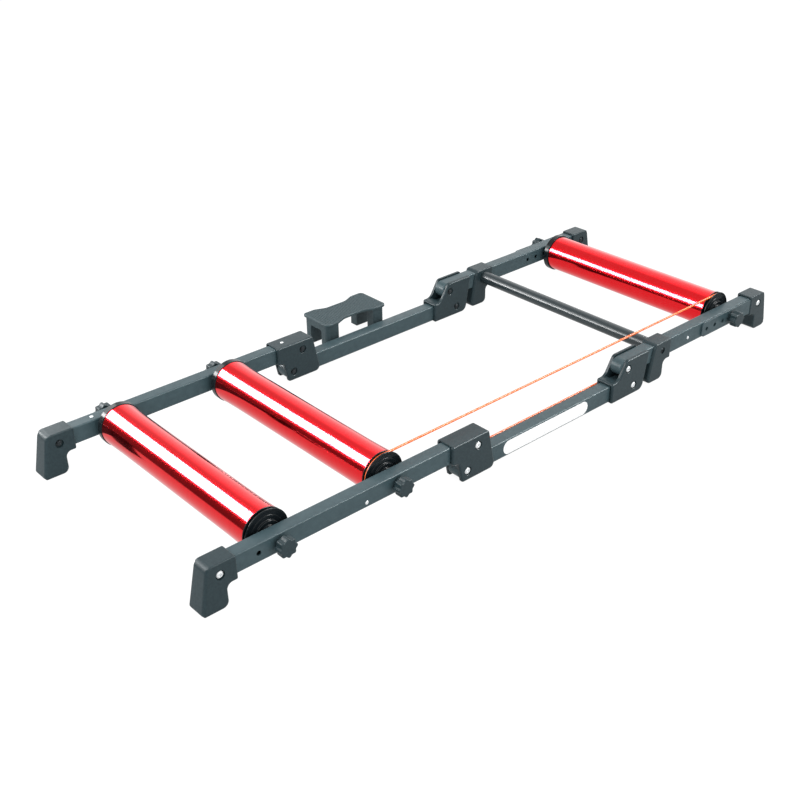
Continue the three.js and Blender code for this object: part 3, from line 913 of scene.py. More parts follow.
@dataclass(frozen=True)
class HingeHousings:
    """Moulded housings: two cheeks, a closed back and nose, and a sleeve for the rail they hold."""

    nose_wall: float = 0.006
    edge: float = 0.0032
    corner: float = 0.0036
    slot_half: float = 0.0128
    bolt_hole: float = BOLT_HOLE
    seat_radius: float = 0.0078
    seat_depth: float = 0.003
    mouth_break: float = 0.0006
    gap: float = 0.0017
    gap_depth: float = 0.004
    rear: HingeForm = HingeForm(
        sleeve_reach=0.0355, sleeve_height=0.035, mouth_gap=0.0022, nose_reach=0.049, nose_lean=0.016,
        nose_radius=0.005, toe_radius=0.010, heel_reach=0.0125, heel_radius=0.005, arch_lean=0.009,
        arch_radius=0.011, roof_reach=0.060,
    )
    front: HingeForm = HingeForm(
        sleeve_reach=0.0435, sleeve_height=0.0405, mouth_gap=0.0015, nose_reach=0.047, nose_lean=0.013,
        nose_radius=0.014, toe_radius=0.004, heel_reach=0.004, heel_radius=0.010, arch_lean=0.022,
        arch_radius=0.016, roof_reach=0.025,
    )

    def build(self) -> None:
        """Builds the four housings."""
        self._pair("rear", self.rear, "rear", "middle", True)
        self._pair("front", self.front, "middle", "front", False)

    def _pair(self, place: str, form: HingeForm, held: str, swung: str, closed_top: bool) -> None:
        """Builds the left and right housing of one hinge.

        Args:
            place: rear or front hinge.
            form: outline sizes.
            held: section whose rail sits in the sleeve.
            swung: section whose rail swings between the cheeks.
            closed_top: whether the closed side is on top.
        """
        low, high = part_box(f"{place}_hinge_left")
        half = (high.y - low.y) / 2
        height = high.z - low.z
        pivot = node_centre(f"{place}_pivot_bolt_left")
        lock = node_centre(f"{place}_lock_bolt_left")
        held_low, held_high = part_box(f"{held}_rail_left")
        swung_low, swung_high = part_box(f"{swung}_rail_left")
        rail_height = held_high.z - held_low.z
        held_base = high.z - held_high.z if closed_top else held_low.z
        swung_base = high.z - swung_high.z if closed_top else swung_low.z

        def spot(u: float, w: float) -> Point:
            """(x, z) of a point at a distance from the pivot and from the closed side."""
            return pivot.x + u, high.z - w if closed_top else w

        def block(left: float, near: float, right: float, far: float, spare: float = 0.0) -> Solid:
            """Cut between the cheeks.

            Args:
                left: distance of its rear end from the pivot, in X.
                near: distance of its nearer side from the closed side.
                right: distance of its front end from the pivot, in X.
                far: distance of its farther side from the closed side.
                spare: how much wider and higher it is, all round.

            Returns:
                The cut.
            """
            x1, z1 = spot(left, near - spare)
            x2, z2 = spot(right, far + spare)
            opening = rectangle(x1, min(z1, z2), x2, max(z1, z2))
            return prism(opening, -self.slot_half - spare, self.slot_half + spare, Plane.SIDE)

        outline = rounded_outline([(*spot(u, w), radius) for u, w, radius in [
            (-form.sleeve_reach, 0.0, self.corner),
            (form.nose_reach, 0.0, form.nose_radius),
            (form.nose_reach + form.nose_lean, height, form.toe_radius),
            (-form.heel_reach, height, form.heel_radius),
            (-form.heel_reach - form.arch_lean, form.sleeve_height, form.arch_radius),
            (-form.sleeve_reach, form.sleeve_height, self.corner),
        ]])
        inner = form.nose_reach - self.nose_wall
        # Bore of the held rail, gap round its mouth, slot beyond it, room past the sleeve, open nose
        tools = [
            block(-form.sleeve_reach - OVERRUN, held_base - FIT, inner, held_base + rail_height + FIT),
            block(-form.sleeve_reach - OVERRUN, held_base, self.gap_depth - form.sleeve_reach,
                  held_base + rail_height, self.gap),
            block(-form.roof_reach, held_base + rail_height, inner, height + OVERRUN),
            block(-form.sleeve_reach - OVERRUN, form.sleeve_height, inner, height + OVERRUN),
            block(inner - OVERRUN, swung_base - form.mouth_gap,
                  form.nose_reach + form.nose_lean + OVERRUN, height + OVERRUN),
        ]
        for bolt in (pivot, lock):
            tools.append(rod(self.bolt_hole, -OVERRUN, OVERRUN, bolt.x, bolt.z))
            seat = half - self.seat_depth
            for a, b in ((seat, half + self.mouth_break), (-half - self.mouth_break, -seat)):
                tools.append(self._seat(a, b, bolt))
        housing = prism(outline, -half, half, Plane.SIDE, self.edge).cut(*tools)
        place_pair(f"{place}_hinge", "housing", housing)

    def _seat(self, low: float, high: float, bolt: Vector) -> Solid:
        """Counterbore for a bolt head, flared where it meets the cheek's face.

        Args:
            low: lower end in Y.
            high: upper end in Y.
            bolt: a point of the bolt's axis.

        Returns:
            The cut.
        """
        flare = 2 * self.mouth_break
        stations = [(0.0, low), (0.0, high - flare), (-flare, high)]
        if abs(low) > abs(high):
            stations = [(-flare, low), (0.0, low + flare), (0.0, high)]
        return stacked(circle(self.seat_radius, bolt.x, bolt.z), stations, Plane.SIDE)


@dataclass(frozen=True)
class FootForm:
    """What sets one kind of foot apart from the others."""

    place: str
    rail: str
    sole_radius: float
    flare: float = 0.0
    turned: bool = False
    open_ended: bool = False


@dataclass(frozen=True)
class Feet:
    """Moulded feet: a sleeve over the rail and a leaning leg down to the floor."""

    lean: float = 0.0155
    sleeve: float = 0.050
    leg: float = 0.046
    wall: float = 0.0045
    sill: float = 0.0045
    end_wall: float = 0.006
    edge: float = 0.0024
    back_edge: float = 0.0052
    corner: float = 0.003
    arch_radius: float = 0.013
    toe_radius: float = 0.011
    brow_radius: float = 0.012
    pocket_corner: float = 0.0026
    bolt_hole: float = BOLT_HOLE
    seat_gap: float = 0.0018
    seat_depth: float = 0.003
    gap: float = 0.0017
    gap_depth: float = 0.004
    forms: tuple[FootForm, ...] = (
        FootForm("rear", "rear", sole_radius=0.0045, flare=0.0032),
        FootForm("front", "front", sole_radius=0.012, turned=True),
        FootForm("middle", "front", sole_radius=0.009, open_ended=True),
    )

    def build(self) -> None:
        """Builds the four end feet and the two middle feet."""
        reach = self.lean + self.sleeve
        for form in self.forms:
            low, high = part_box(f"{form.place}_foot_left")
            tip = low.x + reach if form.turned else high.x - reach
            place_pair(f"{form.place}_foot", "shell", self._foot(form), tip,
                       math.pi if form.turned else 0.0)

    def _foot(self, form: FootForm) -> Solid:
        """One foot whose tip is at x = 0 and whose sleeve points along +X.

        Args:
            form: kind of foot.

        Returns:
            The foot about its rail's middle plane.
        """
        low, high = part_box(f"{form.place}_foot_left")
        rail_low, rail_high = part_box(f"{form.rail}_rail_left")
        half = (rail_high.y - rail_low.y) / 2 + self.wall
        length = self.lean + self.sleeve
        lip = rail_low.z - self.sill
        outline = rounded_outline([
            (0.0, 0.0, form.sole_radius),
            (self.leg, 0.0, self.toe_radius),
            (self.leg, lip, self.arch_radius),
            (length, lip, self.corner),
            (length, high.z, self.corner),
            (self.lean, high.z, self.brow_radius),
        ])
        back = [self._edge_at(u, v, high.z) for u, v in outline]
        pocket_half = (rail_high.y - rail_low.y) / 2 + FIT
        opening = rectangle(-pocket_half, rail_low.z - FIT, pocket_half, rail_high.z + FIT,
                            self.pocket_corner)
        mouth = inset_outline(opening, [-self.gap] * len(opening))
        start = -OVERRUN if form.open_ended else self.lean + self.end_wall
        bolt = node_centre(f"{form.place}_foot_bolt_left")
        bolt_low, bolt_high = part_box(f"{form.place}_foot_bolt_left")
        bolt_x = length - (bolt.x - low.x if form.turned else high.x - bolt.x)
        seat_radius = (bolt_high.z - bolt_low.z) / 2 + self.seat_gap
        seat = half - self.seat_depth
        tools = [
            prism(opening, start, length + OVERRUN, Plane.END),
            prism(mouth, length - self.gap_depth, length + OVERRUN, Plane.END),
            rod(self.bolt_hole, -OVERRUN, OVERRUN, bolt_x, bolt.z),
            rod(seat_radius, seat, half + OVERRUN, bolt_x, bolt.z),
            rod(seat_radius, -half - OVERRUN, -seat, bolt_x, bolt.z),
        ]
        shell = prism(outline, -half, half, Plane.SIDE, back)
        return shell.flared(form.flare / half, high.z).cut(*tools)

    def _edge_at(self, u: float, v: float, top: float) -> float:
        """Edge radius at an outline point: wide down the leaning end face, small elsewhere."""
        reach = self.lean * v / top
        return self.back_edge if u < reach + self.corner else self.edge


@dataclass(frozen=True)
class CrossTube:
    """Round tube between the middle feet, with a plug in each end."""

    wall: float = 0.002
    plug: float = 0.014
    end_break: float = 0.0008
    thread: float = 0.0038
    sides: int = 64

    def build(self) -> None:
        """Builds the tube."""
        low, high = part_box("cross_tube")
        at = node_centre("cross_tube")
        radius = (high.z - low.z) / 2
        half = (high.y - low.y) / 2
        bore = half - self.plug
        tube = revolved([
            (self.thread, -half, 0.0), (radius, -half, self.end_break),
            (radius, half, self.end_break), (self.thread, half, 0.0),
            (self.thread, bore, 0.0), (radius - self.wall, bore, 0.0),
            (radius - self.wall, -bore, 0.0), (self.thread, -bore, 0.0),
        ], self.sides)
        # The tube's darker copy of the frame paint is painted shade.
        place_piece("cross_tube_bar", tube.moved(at), SHADED_TUBE_PAINT, ["cross_tube"])


@dataclass(frozen=True)
class AdjustingPlates:
    """Plates outside the front rails, with a row of holes for the front axle."""

    hole_radius: float = AXLE_HOLE
    holes: int = 5
    holes_behind: int = 3
    pitch: float = 0.0267
    round_end: float = 0.009
    edge: float = 0.0005

    def stations(self) -> list[float]:
        """X of each hole, the axle's own among them."""
        axle = node_centre("front_axle").x
        return [axle + (i - self.holes_behind) * self.pitch for i in range(self.holes)]

    def build(self) -> None:
        """Builds both plates."""
        for side in Side:
            name = f"adjusting_plate_{side.word}"
            low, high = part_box(name)
            outline = rounded_outline([
                (low.x, low.z, self.round_end), (high.x, low.z, self.edge),
                (high.x, high.z, self.edge), (low.x, high.z, self.round_end),
            ])
            middle = node_centre(name)
            plate = prism(outline, low.y, high.y, Plane.SIDE, self.edge)
            bores = [rod(self.hole_radius, low.y - OVERRUN, high.y + OVERRUN, x, middle.z)
                     for x in self.stations()]
            place_piece(name + "_steel", plate.cut(*bores), FRAME_PAINT, [name])


class Shank(Enum):
    """What holds a bolt at its far end."""

    NUT = "hexagon nut"
    PLUG = "threaded plug"


@dataclass(frozen=True)
class Fasteners:
    """Domed hexagon-socket bolts, set at points by one geometry tree, and their closed nuts."""

    shank_radius: float = 0.0035
    shank_break: float = 0.0004
    head_height: float = 0.0032
    dome: float = 0.0014
    dome_fillet_share: float = 0.8
    crown_share: float = 0.62
    crown_fillet: float = 0.0005
    socket: float = 0.0029
    socket_depth: float = 0.0018
    nut_height: float = 0.0032
    nut_radius: float = 0.0056
    nut_edge: float = 0.0003
    nut_rise: float = 0.0008
    nut_end: float = 0.0014
    hexagon: int = 6
    sides: int = 32

    def build(self) -> None:
        """Builds one mesh of bolts for each body and kind."""
        tree = self._tree()
        groups = [
            ("middle_section_bolts", ["front_pivot_bolt", "front_lock_bolt"], Shank.NUT, ZINC),
            ("rear_section_hinge_bolts", ["rear_pivot_bolt", "rear_lock_bolt"], Shank.NUT, ZINC),
            ("rear_foot_screws", ["rear_foot_bolt"], Shank.NUT, ZINC),
            ("front_foot_screws", ["front_foot_bolt"], Shank.NUT, ZINC),
            ("middle_foot_screws", ["middle_foot_bolt"], Shank.PLUG, DARK_STEEL),
        ]
        for name, kinds, shank, finish in groups:
            nodes = [f"{kind}_{side.word}" for kind in kinds for side in Side]
            points = bpy.data.meshes.new(name + "_points")
            points.from_pydata([self._head_middle(node) for node in nodes], [], [])
            facing = points.attributes.new("facing", "FLOAT", "POINT")
            for i, node in enumerate(nodes):
                facing.data[i].value = Side.of(node).turn
            holder = bpy.data.objects.new(name + "_pattern", self._bolt(nodes[0], shank).mesh)
            bolts = grown(points, tree, {"Bolt": holder, "Material": finish.material()})
            bpy.data.objects.remove(holder)
            place_piece(name, bolts, finish, nodes)
            if shank is Shank.NUT:
                self._nuts(name, nodes)

    def _nuts(self, name: str, nodes: Sequence[str]) -> None:
        """Builds the dark closed nuts on the inner ends of one group of bolts.

        Args:
            name: name of the group of bolts.
            nodes: its nodes.
        """
        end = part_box(nodes[0])[0].y - rail_plane(Side.LEFT)
        block = prism(circle(self.nut_radius, sides=self.hexagon), end + self.nut_rise,
                      end + self.nut_height, Plane.SIDE, self.nut_edge)
        dome = revolved([
            (0.0, end, 0.0), (self.shank_radius, end, self.nut_rise),
            (self.shank_radius, end + self.nut_end, 0.0), (0.0, end + self.nut_end, 0.0),
        ], self.sides)
        nut = block.joined(dome).cut(rod(self.shank_radius + FIT, end + self.nut_end, OVERRUN))
        copies = [nut.moved(self._head_middle(node), Side.of(node).turn) for node in nodes]
        place_piece(name + "_nuts", copies[0].beside(*copies[1:]), DARK_STEEL, body=body_of(nodes[0]))

    @staticmethod
    def _head_middle(node: str) -> Vector:
        """Axis point of a bolt in its rail's middle plane."""
        at = node_centre(node)
        return Vector((at.x, rail_plane(Side.of(node)), at.z))

    def _bolt(self, node: str, shank: Shank) -> Solid:
        """Bolt along +Y about its rail's middle plane, like the node's own.

        Args:
            node: a left bolt that gives the sizes.
            shank: what holds it at its far end.

        Returns:
            The bolt.
        """
        low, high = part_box(node)
        middle = rail_plane(Side.LEFT)
        top = high.y - middle
        end = low.y - middle
        radius = (high.z - low.z) / 2
        if shank is Shank.NUT:
            end += self.nut_end + FIT
            radius = max(radius, (high.x - low.x) / 2)
        seat = top - self.head_height
        body = revolved([
            (0.0, top, 0.0), (radius * self.crown_share, top, self.crown_fillet),
            (radius, top - self.dome, self.dome * self.dome_fillet_share), (radius, seat, 0.0),
            (self.shank_radius, seat, 0.0), (self.shank_radius, end, self.shank_break), (0.0, end, 0.0),
        ], self.sides)
        socket = circle(self.socket, sides=self.hexagon)
        return body.cut(prism(socket, top - self.socket_depth, top + OVERRUN, Plane.SIDE))

    @staticmethod
    def _tree() -> Tree:
        """Tree that sets a bolt at each point, turned to its side.

        Returns:
            The tree.
        """
        tree, given = geometry_tree("bolts_at_points", {
            "Bolt": "NodeSocketObject", "Material": "NodeSocketMaterial",
        })
        bolt = add_node(tree, "GeometryNodeObjectInfo", {"Object": given["Bolt"]})
        facing = add_node(tree, "GeometryNodeInputNamedAttribute", {"Name": "facing"}, data_type="FLOAT")
        turn = add_node(tree, "ShaderNodeCombineXYZ", {"Z": facing.outputs["Attribute"]})
        rotation = add_node(tree, "FunctionNodeEulerToRotation", {"Euler": turn})
        points = add_node(tree, "GeometryNodeMeshToPoints", {"Mesh": given["Geometry"]})
        placed = add_node(tree, "GeometryNodeInstanceOnPoints", {
            "Points": points, "Instance": bolt.outputs["Geometry"], "Rotation": rotation,
        })
        close_tree(tree, placed, given["Material"])
        return tree


@dataclass(frozen=True)
class Rivets:
    """Small bright rivets in the rails' walls and on the left rear hinge's roof."""

    radius: float = 0.0033
    height: float = 0.0013
    sink: float = 0.0004
    sides: int = 32
    dome: tuple[Point, ...] = ((0.0, 0.0), (0.0, 0.3), (0.12, 0.6), (0.34, 0.85), (0.62, 1.0))
    rear_wall: Point = (-0.064, 0.0513)
    front_wall: Point = (-0.2346, 0.0567)
    rear_top: float = -0.0364
    roof: float = -0.011

    def build(self) -> None:
        """Builds the four rivets: two in outer walls, two on top."""
        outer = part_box("rear_rail_right")[0].y
        for node, near, (x, z) in (
            ("rear_rail_right", "middle_axle", self.rear_wall),
            ("front_rail_right", "front_foot_bolt_right", self.front_wall),
        ):
            self._rivet(node, (node_centre(near).x + x, outer, z), Plane.SIDE)
        for node, near, x in (
            ("rear_rail_left", "rear_axle", self.rear_top),
            ("rear_hinge_left", "rear_pivot_bolt_left", self.roof),
        ):
            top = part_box(node)[1].z
            self._rivet(node, (node_centre(near).x + x, rail_plane(Side.LEFT), top), Plane.PLAN)

    def _rivet(self, node: str, place: Triple, plane: Plane) -> None:
        """Builds a domed rivet on a side face that looks along -Y, or on a top face.

        Args:
            node: node that it sits in.
            place: its middle on the face.
            plane: plane of the face.
        """
        x, y, z = place
        outline = circle(self.radius, x, z if plane is Plane.SIDE else y, self.sides)
        face, away = (y, -1) if plane is Plane.SIDE else (z, 1)
        stations = [(0.0, face - away * self.sink)]
        for inset, share in self.dome:
            stations.append((self.radius * inset, face + away * self.height * share))
        place_piece(node + "_rivet", stacked(outline, stations, plane), ZINC, body=body_of(node))


# Rollers

@dataclass(frozen=True)
class Rollers:
    """Three drums with their end caps, bearings and axles."""

    drum_sides: int = 144
    cap_sides: int = 112
    small_sides: int = 48
    drum_radius: float = 0.037
    drum_wall: float = 0.0025
    drum_flare: float = 0.0013
    flare_length: float = 0.06
    flare_steps: int = 12
    end_break: float = 0.0006
    cap_radius: float = 0.0395
    shoulder_drop: float = 0.0008
    spigot_length: float = 0.012
    rim_width: float = 0.0036
    face_drop: float = 0.001
    boss_radius: float = 0.029
    step_radius: float = 0.0214
    step_height: float = 0.0034
    hub_radius: float = 0.0145
    cap_bore: float = 0.006
    hub_right_rise: float = 0.0066
    hub_left_rise: float = 0.0086
    belt_track: float = 0.0045
    groove_floor: float = 0.0322
    groove_half: float = 0.00245
    groove_flare: float = 0.0004
    bearing_radius: float = 0.011
    bearing_width: float = 0.007
    bearing_lip: float = 0.0017
    bearing_dish: float = 0.0006
    bearing_slope: float = 0.0003
    axle_radius: float = 0.004
    collar_radius: float = 0.0065
    collar_width: float = 0.0008
    axle_break: float = 0.0005
    ring_edge: float = 0.0002
    bore_edge: float = 0.0003
    small_edge: float = 0.0004
    boss_edge: float = 0.0005
    face_edge: float = 0.0006
    hub_edge: float = 0.0007
    spigot_edge: float = 0.0008
    rim_edge: float = 0.0009
    step_edge: float = 0.001
    groove_fillet_share: float = 0.9

    def build(self) -> None:
        """Builds the three rollers."""
        caps = {side: self._cap(side) for side in Side}
        bearing = self._bearing()
        for name in ROLLERS:
            at = node_centre(f"{name}_drum")
            at.y = self._middle
            low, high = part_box(f"{name}_drum")
            flare = 0.0 if name == "front" else self.drum_flare
            drum = self._drum(low.y - self._middle, high.y - self._middle, flare)
            place_piece(f"{name}_drum_tube", drum.moved(at), RED_ANODISED, [f"{name}_drum"])
            place_piece(f"{name}_axle_rod", self._axle(name).moved(at), BEARING_STEEL, [f"{name}_axle"])
            for side in Side:
                cap = caps[side].moved(at, side.turn)
                place_piece(f"{name}_end_cap_{side.word}", cap, CAP_PLASTIC, [f"{name}_cap_{side.word}"])
                place_piece(f"{name}_race_{side.word}", bearing.moved(at, side.turn), BEARING_STEEL,
                            [f"{name}_bearing_{side.word}"])

    @property
    def _middle(self) -> float:
        """Y of the middle plane of the frame."""
        return (rail_plane(Side.LEFT) + rail_plane(Side.RIGHT)) / 2

    @property
    def _hub_reach(self) -> float:
        """Distance of the hubs' outer faces from the middle plane."""
        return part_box("front_cap_left")[1].y - self._middle

    def _drum(self, low: float, high: float, flare: float) -> Solid:
        """Tube between two ends, its outside swelling smoothly towards them.

        Args:
            low: right end in Y from the middle plane.
            high: left end.
            flare: how much the radius grows at the ends.

        Returns:
            The tube.
        """
        bore = self.drum_radius - self.drum_wall
        steps = self.flare_steps if flare else 1
        shares = [i / steps for i in range(steps + 1)]
        swell = [(self.drum_radius + flare * s * s, s) for s in shares]
        rising = [(r, high - self.flare_length * (1 - s), 0.0) for r, s in swell]
        falling = [(r, low + self.flare_length * (1 - s), 0.0) for r, s in reversed(swell)]
        falling[0] = (*falling[0][:2], self.end_break)
        rising[-1] = (*rising[-1][:2], self.end_break)
        loop = [(bore, high, self.end_break / 2), (bore, low, self.end_break / 2), *falling, *rising]
        return revolved(loop, self.drum_sides)

    def _cap(self, side: Side) -> Solid:
        """End cap pointing along +Y: spigot, rim, belt groove on the right one, steps and hub.

        Args:
            side: side that the cap is for.

        Returns:
            The cap.
        """
        drum_low, drum_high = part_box("rear_drum")
        hub = self._hub_reach
        grooved = side is Side.RIGHT
        drum_end = self._middle - drum_low.y if grooved else drum_high.y - self._middle
        rim = hub - (self.hub_right_rise if grooved else self.hub_left_rise)
        spigot = self.drum_radius - self.drum_wall - FIT
        shoulder = self.cap_radius - self.shoulder_drop
        track = rim - self.belt_track
        half = self.groove_half
        round_floor = half * self.groove_fillet_share
        groove = [
            (shoulder, track - half - self.groove_flare, self.spigot_edge),
            (self.groove_floor, track - half, round_floor),
            (self.groove_floor, track + half, round_floor),
            (self.cap_radius, track + half + self.groove_flare, self.bore_edge),
        ] if grooved else [(self.cap_radius, drum_end + FIT + self.groove_flare, self.small_edge)]
        seat = hub - self.bearing_width - FIT
        inner_rim = self.cap_radius - self.rim_width
        return revolved([
            (self.cap_bore, drum_end - self.spigot_length, self.small_edge),
            (spigot, drum_end - self.spigot_length, self.spigot_edge),
            (spigot, drum_end + FIT, 0.0),
            (shoulder, drum_end + FIT, self.small_edge),
            *groove,
            (self.cap_radius, rim, self.rim_edge),
            (inner_rim, rim, self.face_edge),
            (inner_rim, rim - self.face_drop, self.small_edge),
            (self.boss_radius, rim - self.face_drop, self.small_edge),
            (self.boss_radius, rim, self.boss_edge),
            (self.step_radius, rim, self.step_edge),
            (self.step_radius, rim + self.step_height, self.spigot_edge),
            (self.hub_radius, rim + self.step_height, self.spigot_edge),
            (self.hub_radius, hub, self.hub_edge),
            (self.bearing_radius + FIT, hub, self.bore_edge),
            (self.bearing_radius + FIT, seat, 0.0),
            (self.cap_bore, seat, 0.0),
        ], self.cap_sides)

    def _bearing(self) -> Solid:
        """Sealed ball bearing pointing along +Y, with a dished shield on its outer face.

        Returns:
            The bearing.
        """
        hub = self._hub_reach
        back = hub - self.bearing_width
        shield = hub - self.bearing_dish
        inner = self.axle_radius + FIT
        lip = inner + self.bearing_lip
        outer_ring = self.bearing_radius - self.bearing_lip
        return revolved([
            (inner, back, self.bore_edge),
            (self.bearing_radius, back, self.small_edge),
            (self.bearing_radius, hub, self.small_edge),
            (outer_ring, hub, self.ring_edge),
            (outer_ring - self.bearing_slope, shield, self.ring_edge),
            (lip + self.bearing_slope, shield, self.ring_edge),
            (lip, hub, self.ring_edge),
            (inner, hub, self.bore_edge),
        ], self.small_sides)

    def _axle(self, name: str) -> Solid:
        """Fixed axle with a collar beside each bearing.

        Args:
            name: rear, middle or front roller.

        Returns:
            The axle.
        """
        low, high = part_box(f"{name}_axle")
        end = (high.y - low.y) / 2
        inside = self._hub_reach + FIT
        outside = inside + self.collar_width
        half = [
            (self.axle_radius, inside, 0.0),
            (self.collar_radius, inside, self.ring_edge),
            (self.collar_radius, outside, self.ring_edge),
            (self.axle_radius, outside, 0.0),
            (self.axle_radius, end, self.axle_break),
            (0.0, end, 0.0),
        ]
        mirrored = [(r, -y, fillet) for r, y, fillet in reversed(half)]
        return revolved([*mirrored, *half], self.small_sides)


@dataclass(frozen=True)
class Knobs:
    """Lobed clamping knobs on the axles' ends."""

    radius: float = 0.0165
    flute: float = 0.0027
    lobes: int = 8
    points_each: int = 16
    collar_radius: float = 0.0095
    collar: float = 0.0065
    collar_edge: float = 0.0005
    neck_share: float = 0.86
    neck_slope: float = 0.0004
    neck_fillet: float = 0.0003
    edge: float = 0.0018
    bore: float = AXLE_HOLE
    bore_depth: float = 0.013
    sides: int = 48

    def build(self) -> None:
        """Builds the six knobs."""
        low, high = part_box("rear_knob_left")
        knob = self._knob(high.y - low.y)
        for roller in ROLLERS:
            for side in Side:
                name = f"{roller}_knob_{side.word}"
                low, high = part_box(name)
                at = node_centre(name)
                at.y = low.y if side is Side.LEFT else high.y
                place_piece(name + "_grip", knob.moved(at, side.turn), MOULDED_PLASTIC, [name])

    def _knob(self, length: float) -> Solid:
        """Knob seated at y = 0 and pointing along +Y.

        Args:
            length: its whole length.

        Returns:
            The knob.
        """
        around = self.lobes * self.points_each
        outline = []
        for i in range(around):
            angle = 2 * math.pi * i / around
            reach = self.radius - self.flute * (1 - math.cos(self.lobes * angle)) / 2
            outline.append((reach * math.cos(angle), reach * math.sin(angle)))
        head = prism(outline, self.collar, length, Plane.SIDE, self.edge)
        flange = self.collar / 2
        neck = self.collar_radius * self.neck_share
        inside = self.collar + self.edge
        stem = revolved([
            (0.0, 0.0, 0.0), (self.collar_radius, 0.0, self.collar_edge),
            (self.collar_radius, flange, self.collar_edge),
            (neck, flange + self.neck_slope, self.neck_fillet), (neck, inside, 0.0), (0.0, inside, 0.0),
        ], self.sides)
        return head.joined(stem).cut(rod(self.bore, -OVERRUN, self.bore_depth))


@dataclass(frozen=True)
class DriveBelt:
    """Round belt in the grooves of the middle and front rollers."""

    turn_steps: int = 48
    sides: int = 20
    folded_share: float = 0.25
    folded_at: float = -0.058

    def build(self) -> None:
        """Builds the belt, a round cord swept along its path round both grooves."""
        low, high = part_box("drive_belt")
        radius = (high.y - low.y) / 2
        ring = (high.z - low.z) / 2 - radius
        axis_z = (high.z + low.z) / 2
        path = []
        for x, start in ((high.x - radius - ring, math.pi / 2), (low.x + radius + ring, -math.pi / 2)):
            for i in range(self.turn_steps + 1):
                angle = start - math.pi * i / self.turn_steps
                path.append((x + ring * math.cos(angle), (low.y + high.y) / 2,
                             axis_z + ring * math.sin(angle)))
        loop = bpy.data.meshes.new("belt_path")
        count = len(path)
        loop.from_pydata(path, [(i, (i + 1) % count) for i in range(count)], [])
        belt = grown(loop, self._tree(), {
            "Radius": radius, "Sides": self.sides, "Material": BELT_ORANGE.material(),
        })
        piece = place_piece("drive_belt_cord", belt, BELT_ORANGE, ["drive_belt"])
        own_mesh(piece)

    @staticmethod
    def _tree() -> Tree:
        """Tree that sweeps a round section along a path.

        Returns:
            The tree.
        """
        tree, given = geometry_tree("belt_along_path", {
            "Radius": "NodeSocketFloat", "Sides": "NodeSocketInt", "Material": "NodeSocketMaterial",
        })
        path = add_node(tree, "GeometryNodeMeshToCurve", {"Mesh": given["Geometry"]})
        section = add_node(tree, "GeometryNodeCurvePrimitiveCircle", {
            "Resolution": given["Sides"], "Radius": given["Radius"],
        })
        tube = add_node(tree, "GeometryNodeCurveToMesh", {"Curve": path, "Profile Curve": section})
        close_tree(tree, tube, given["Material"])
        return tree


# Stool

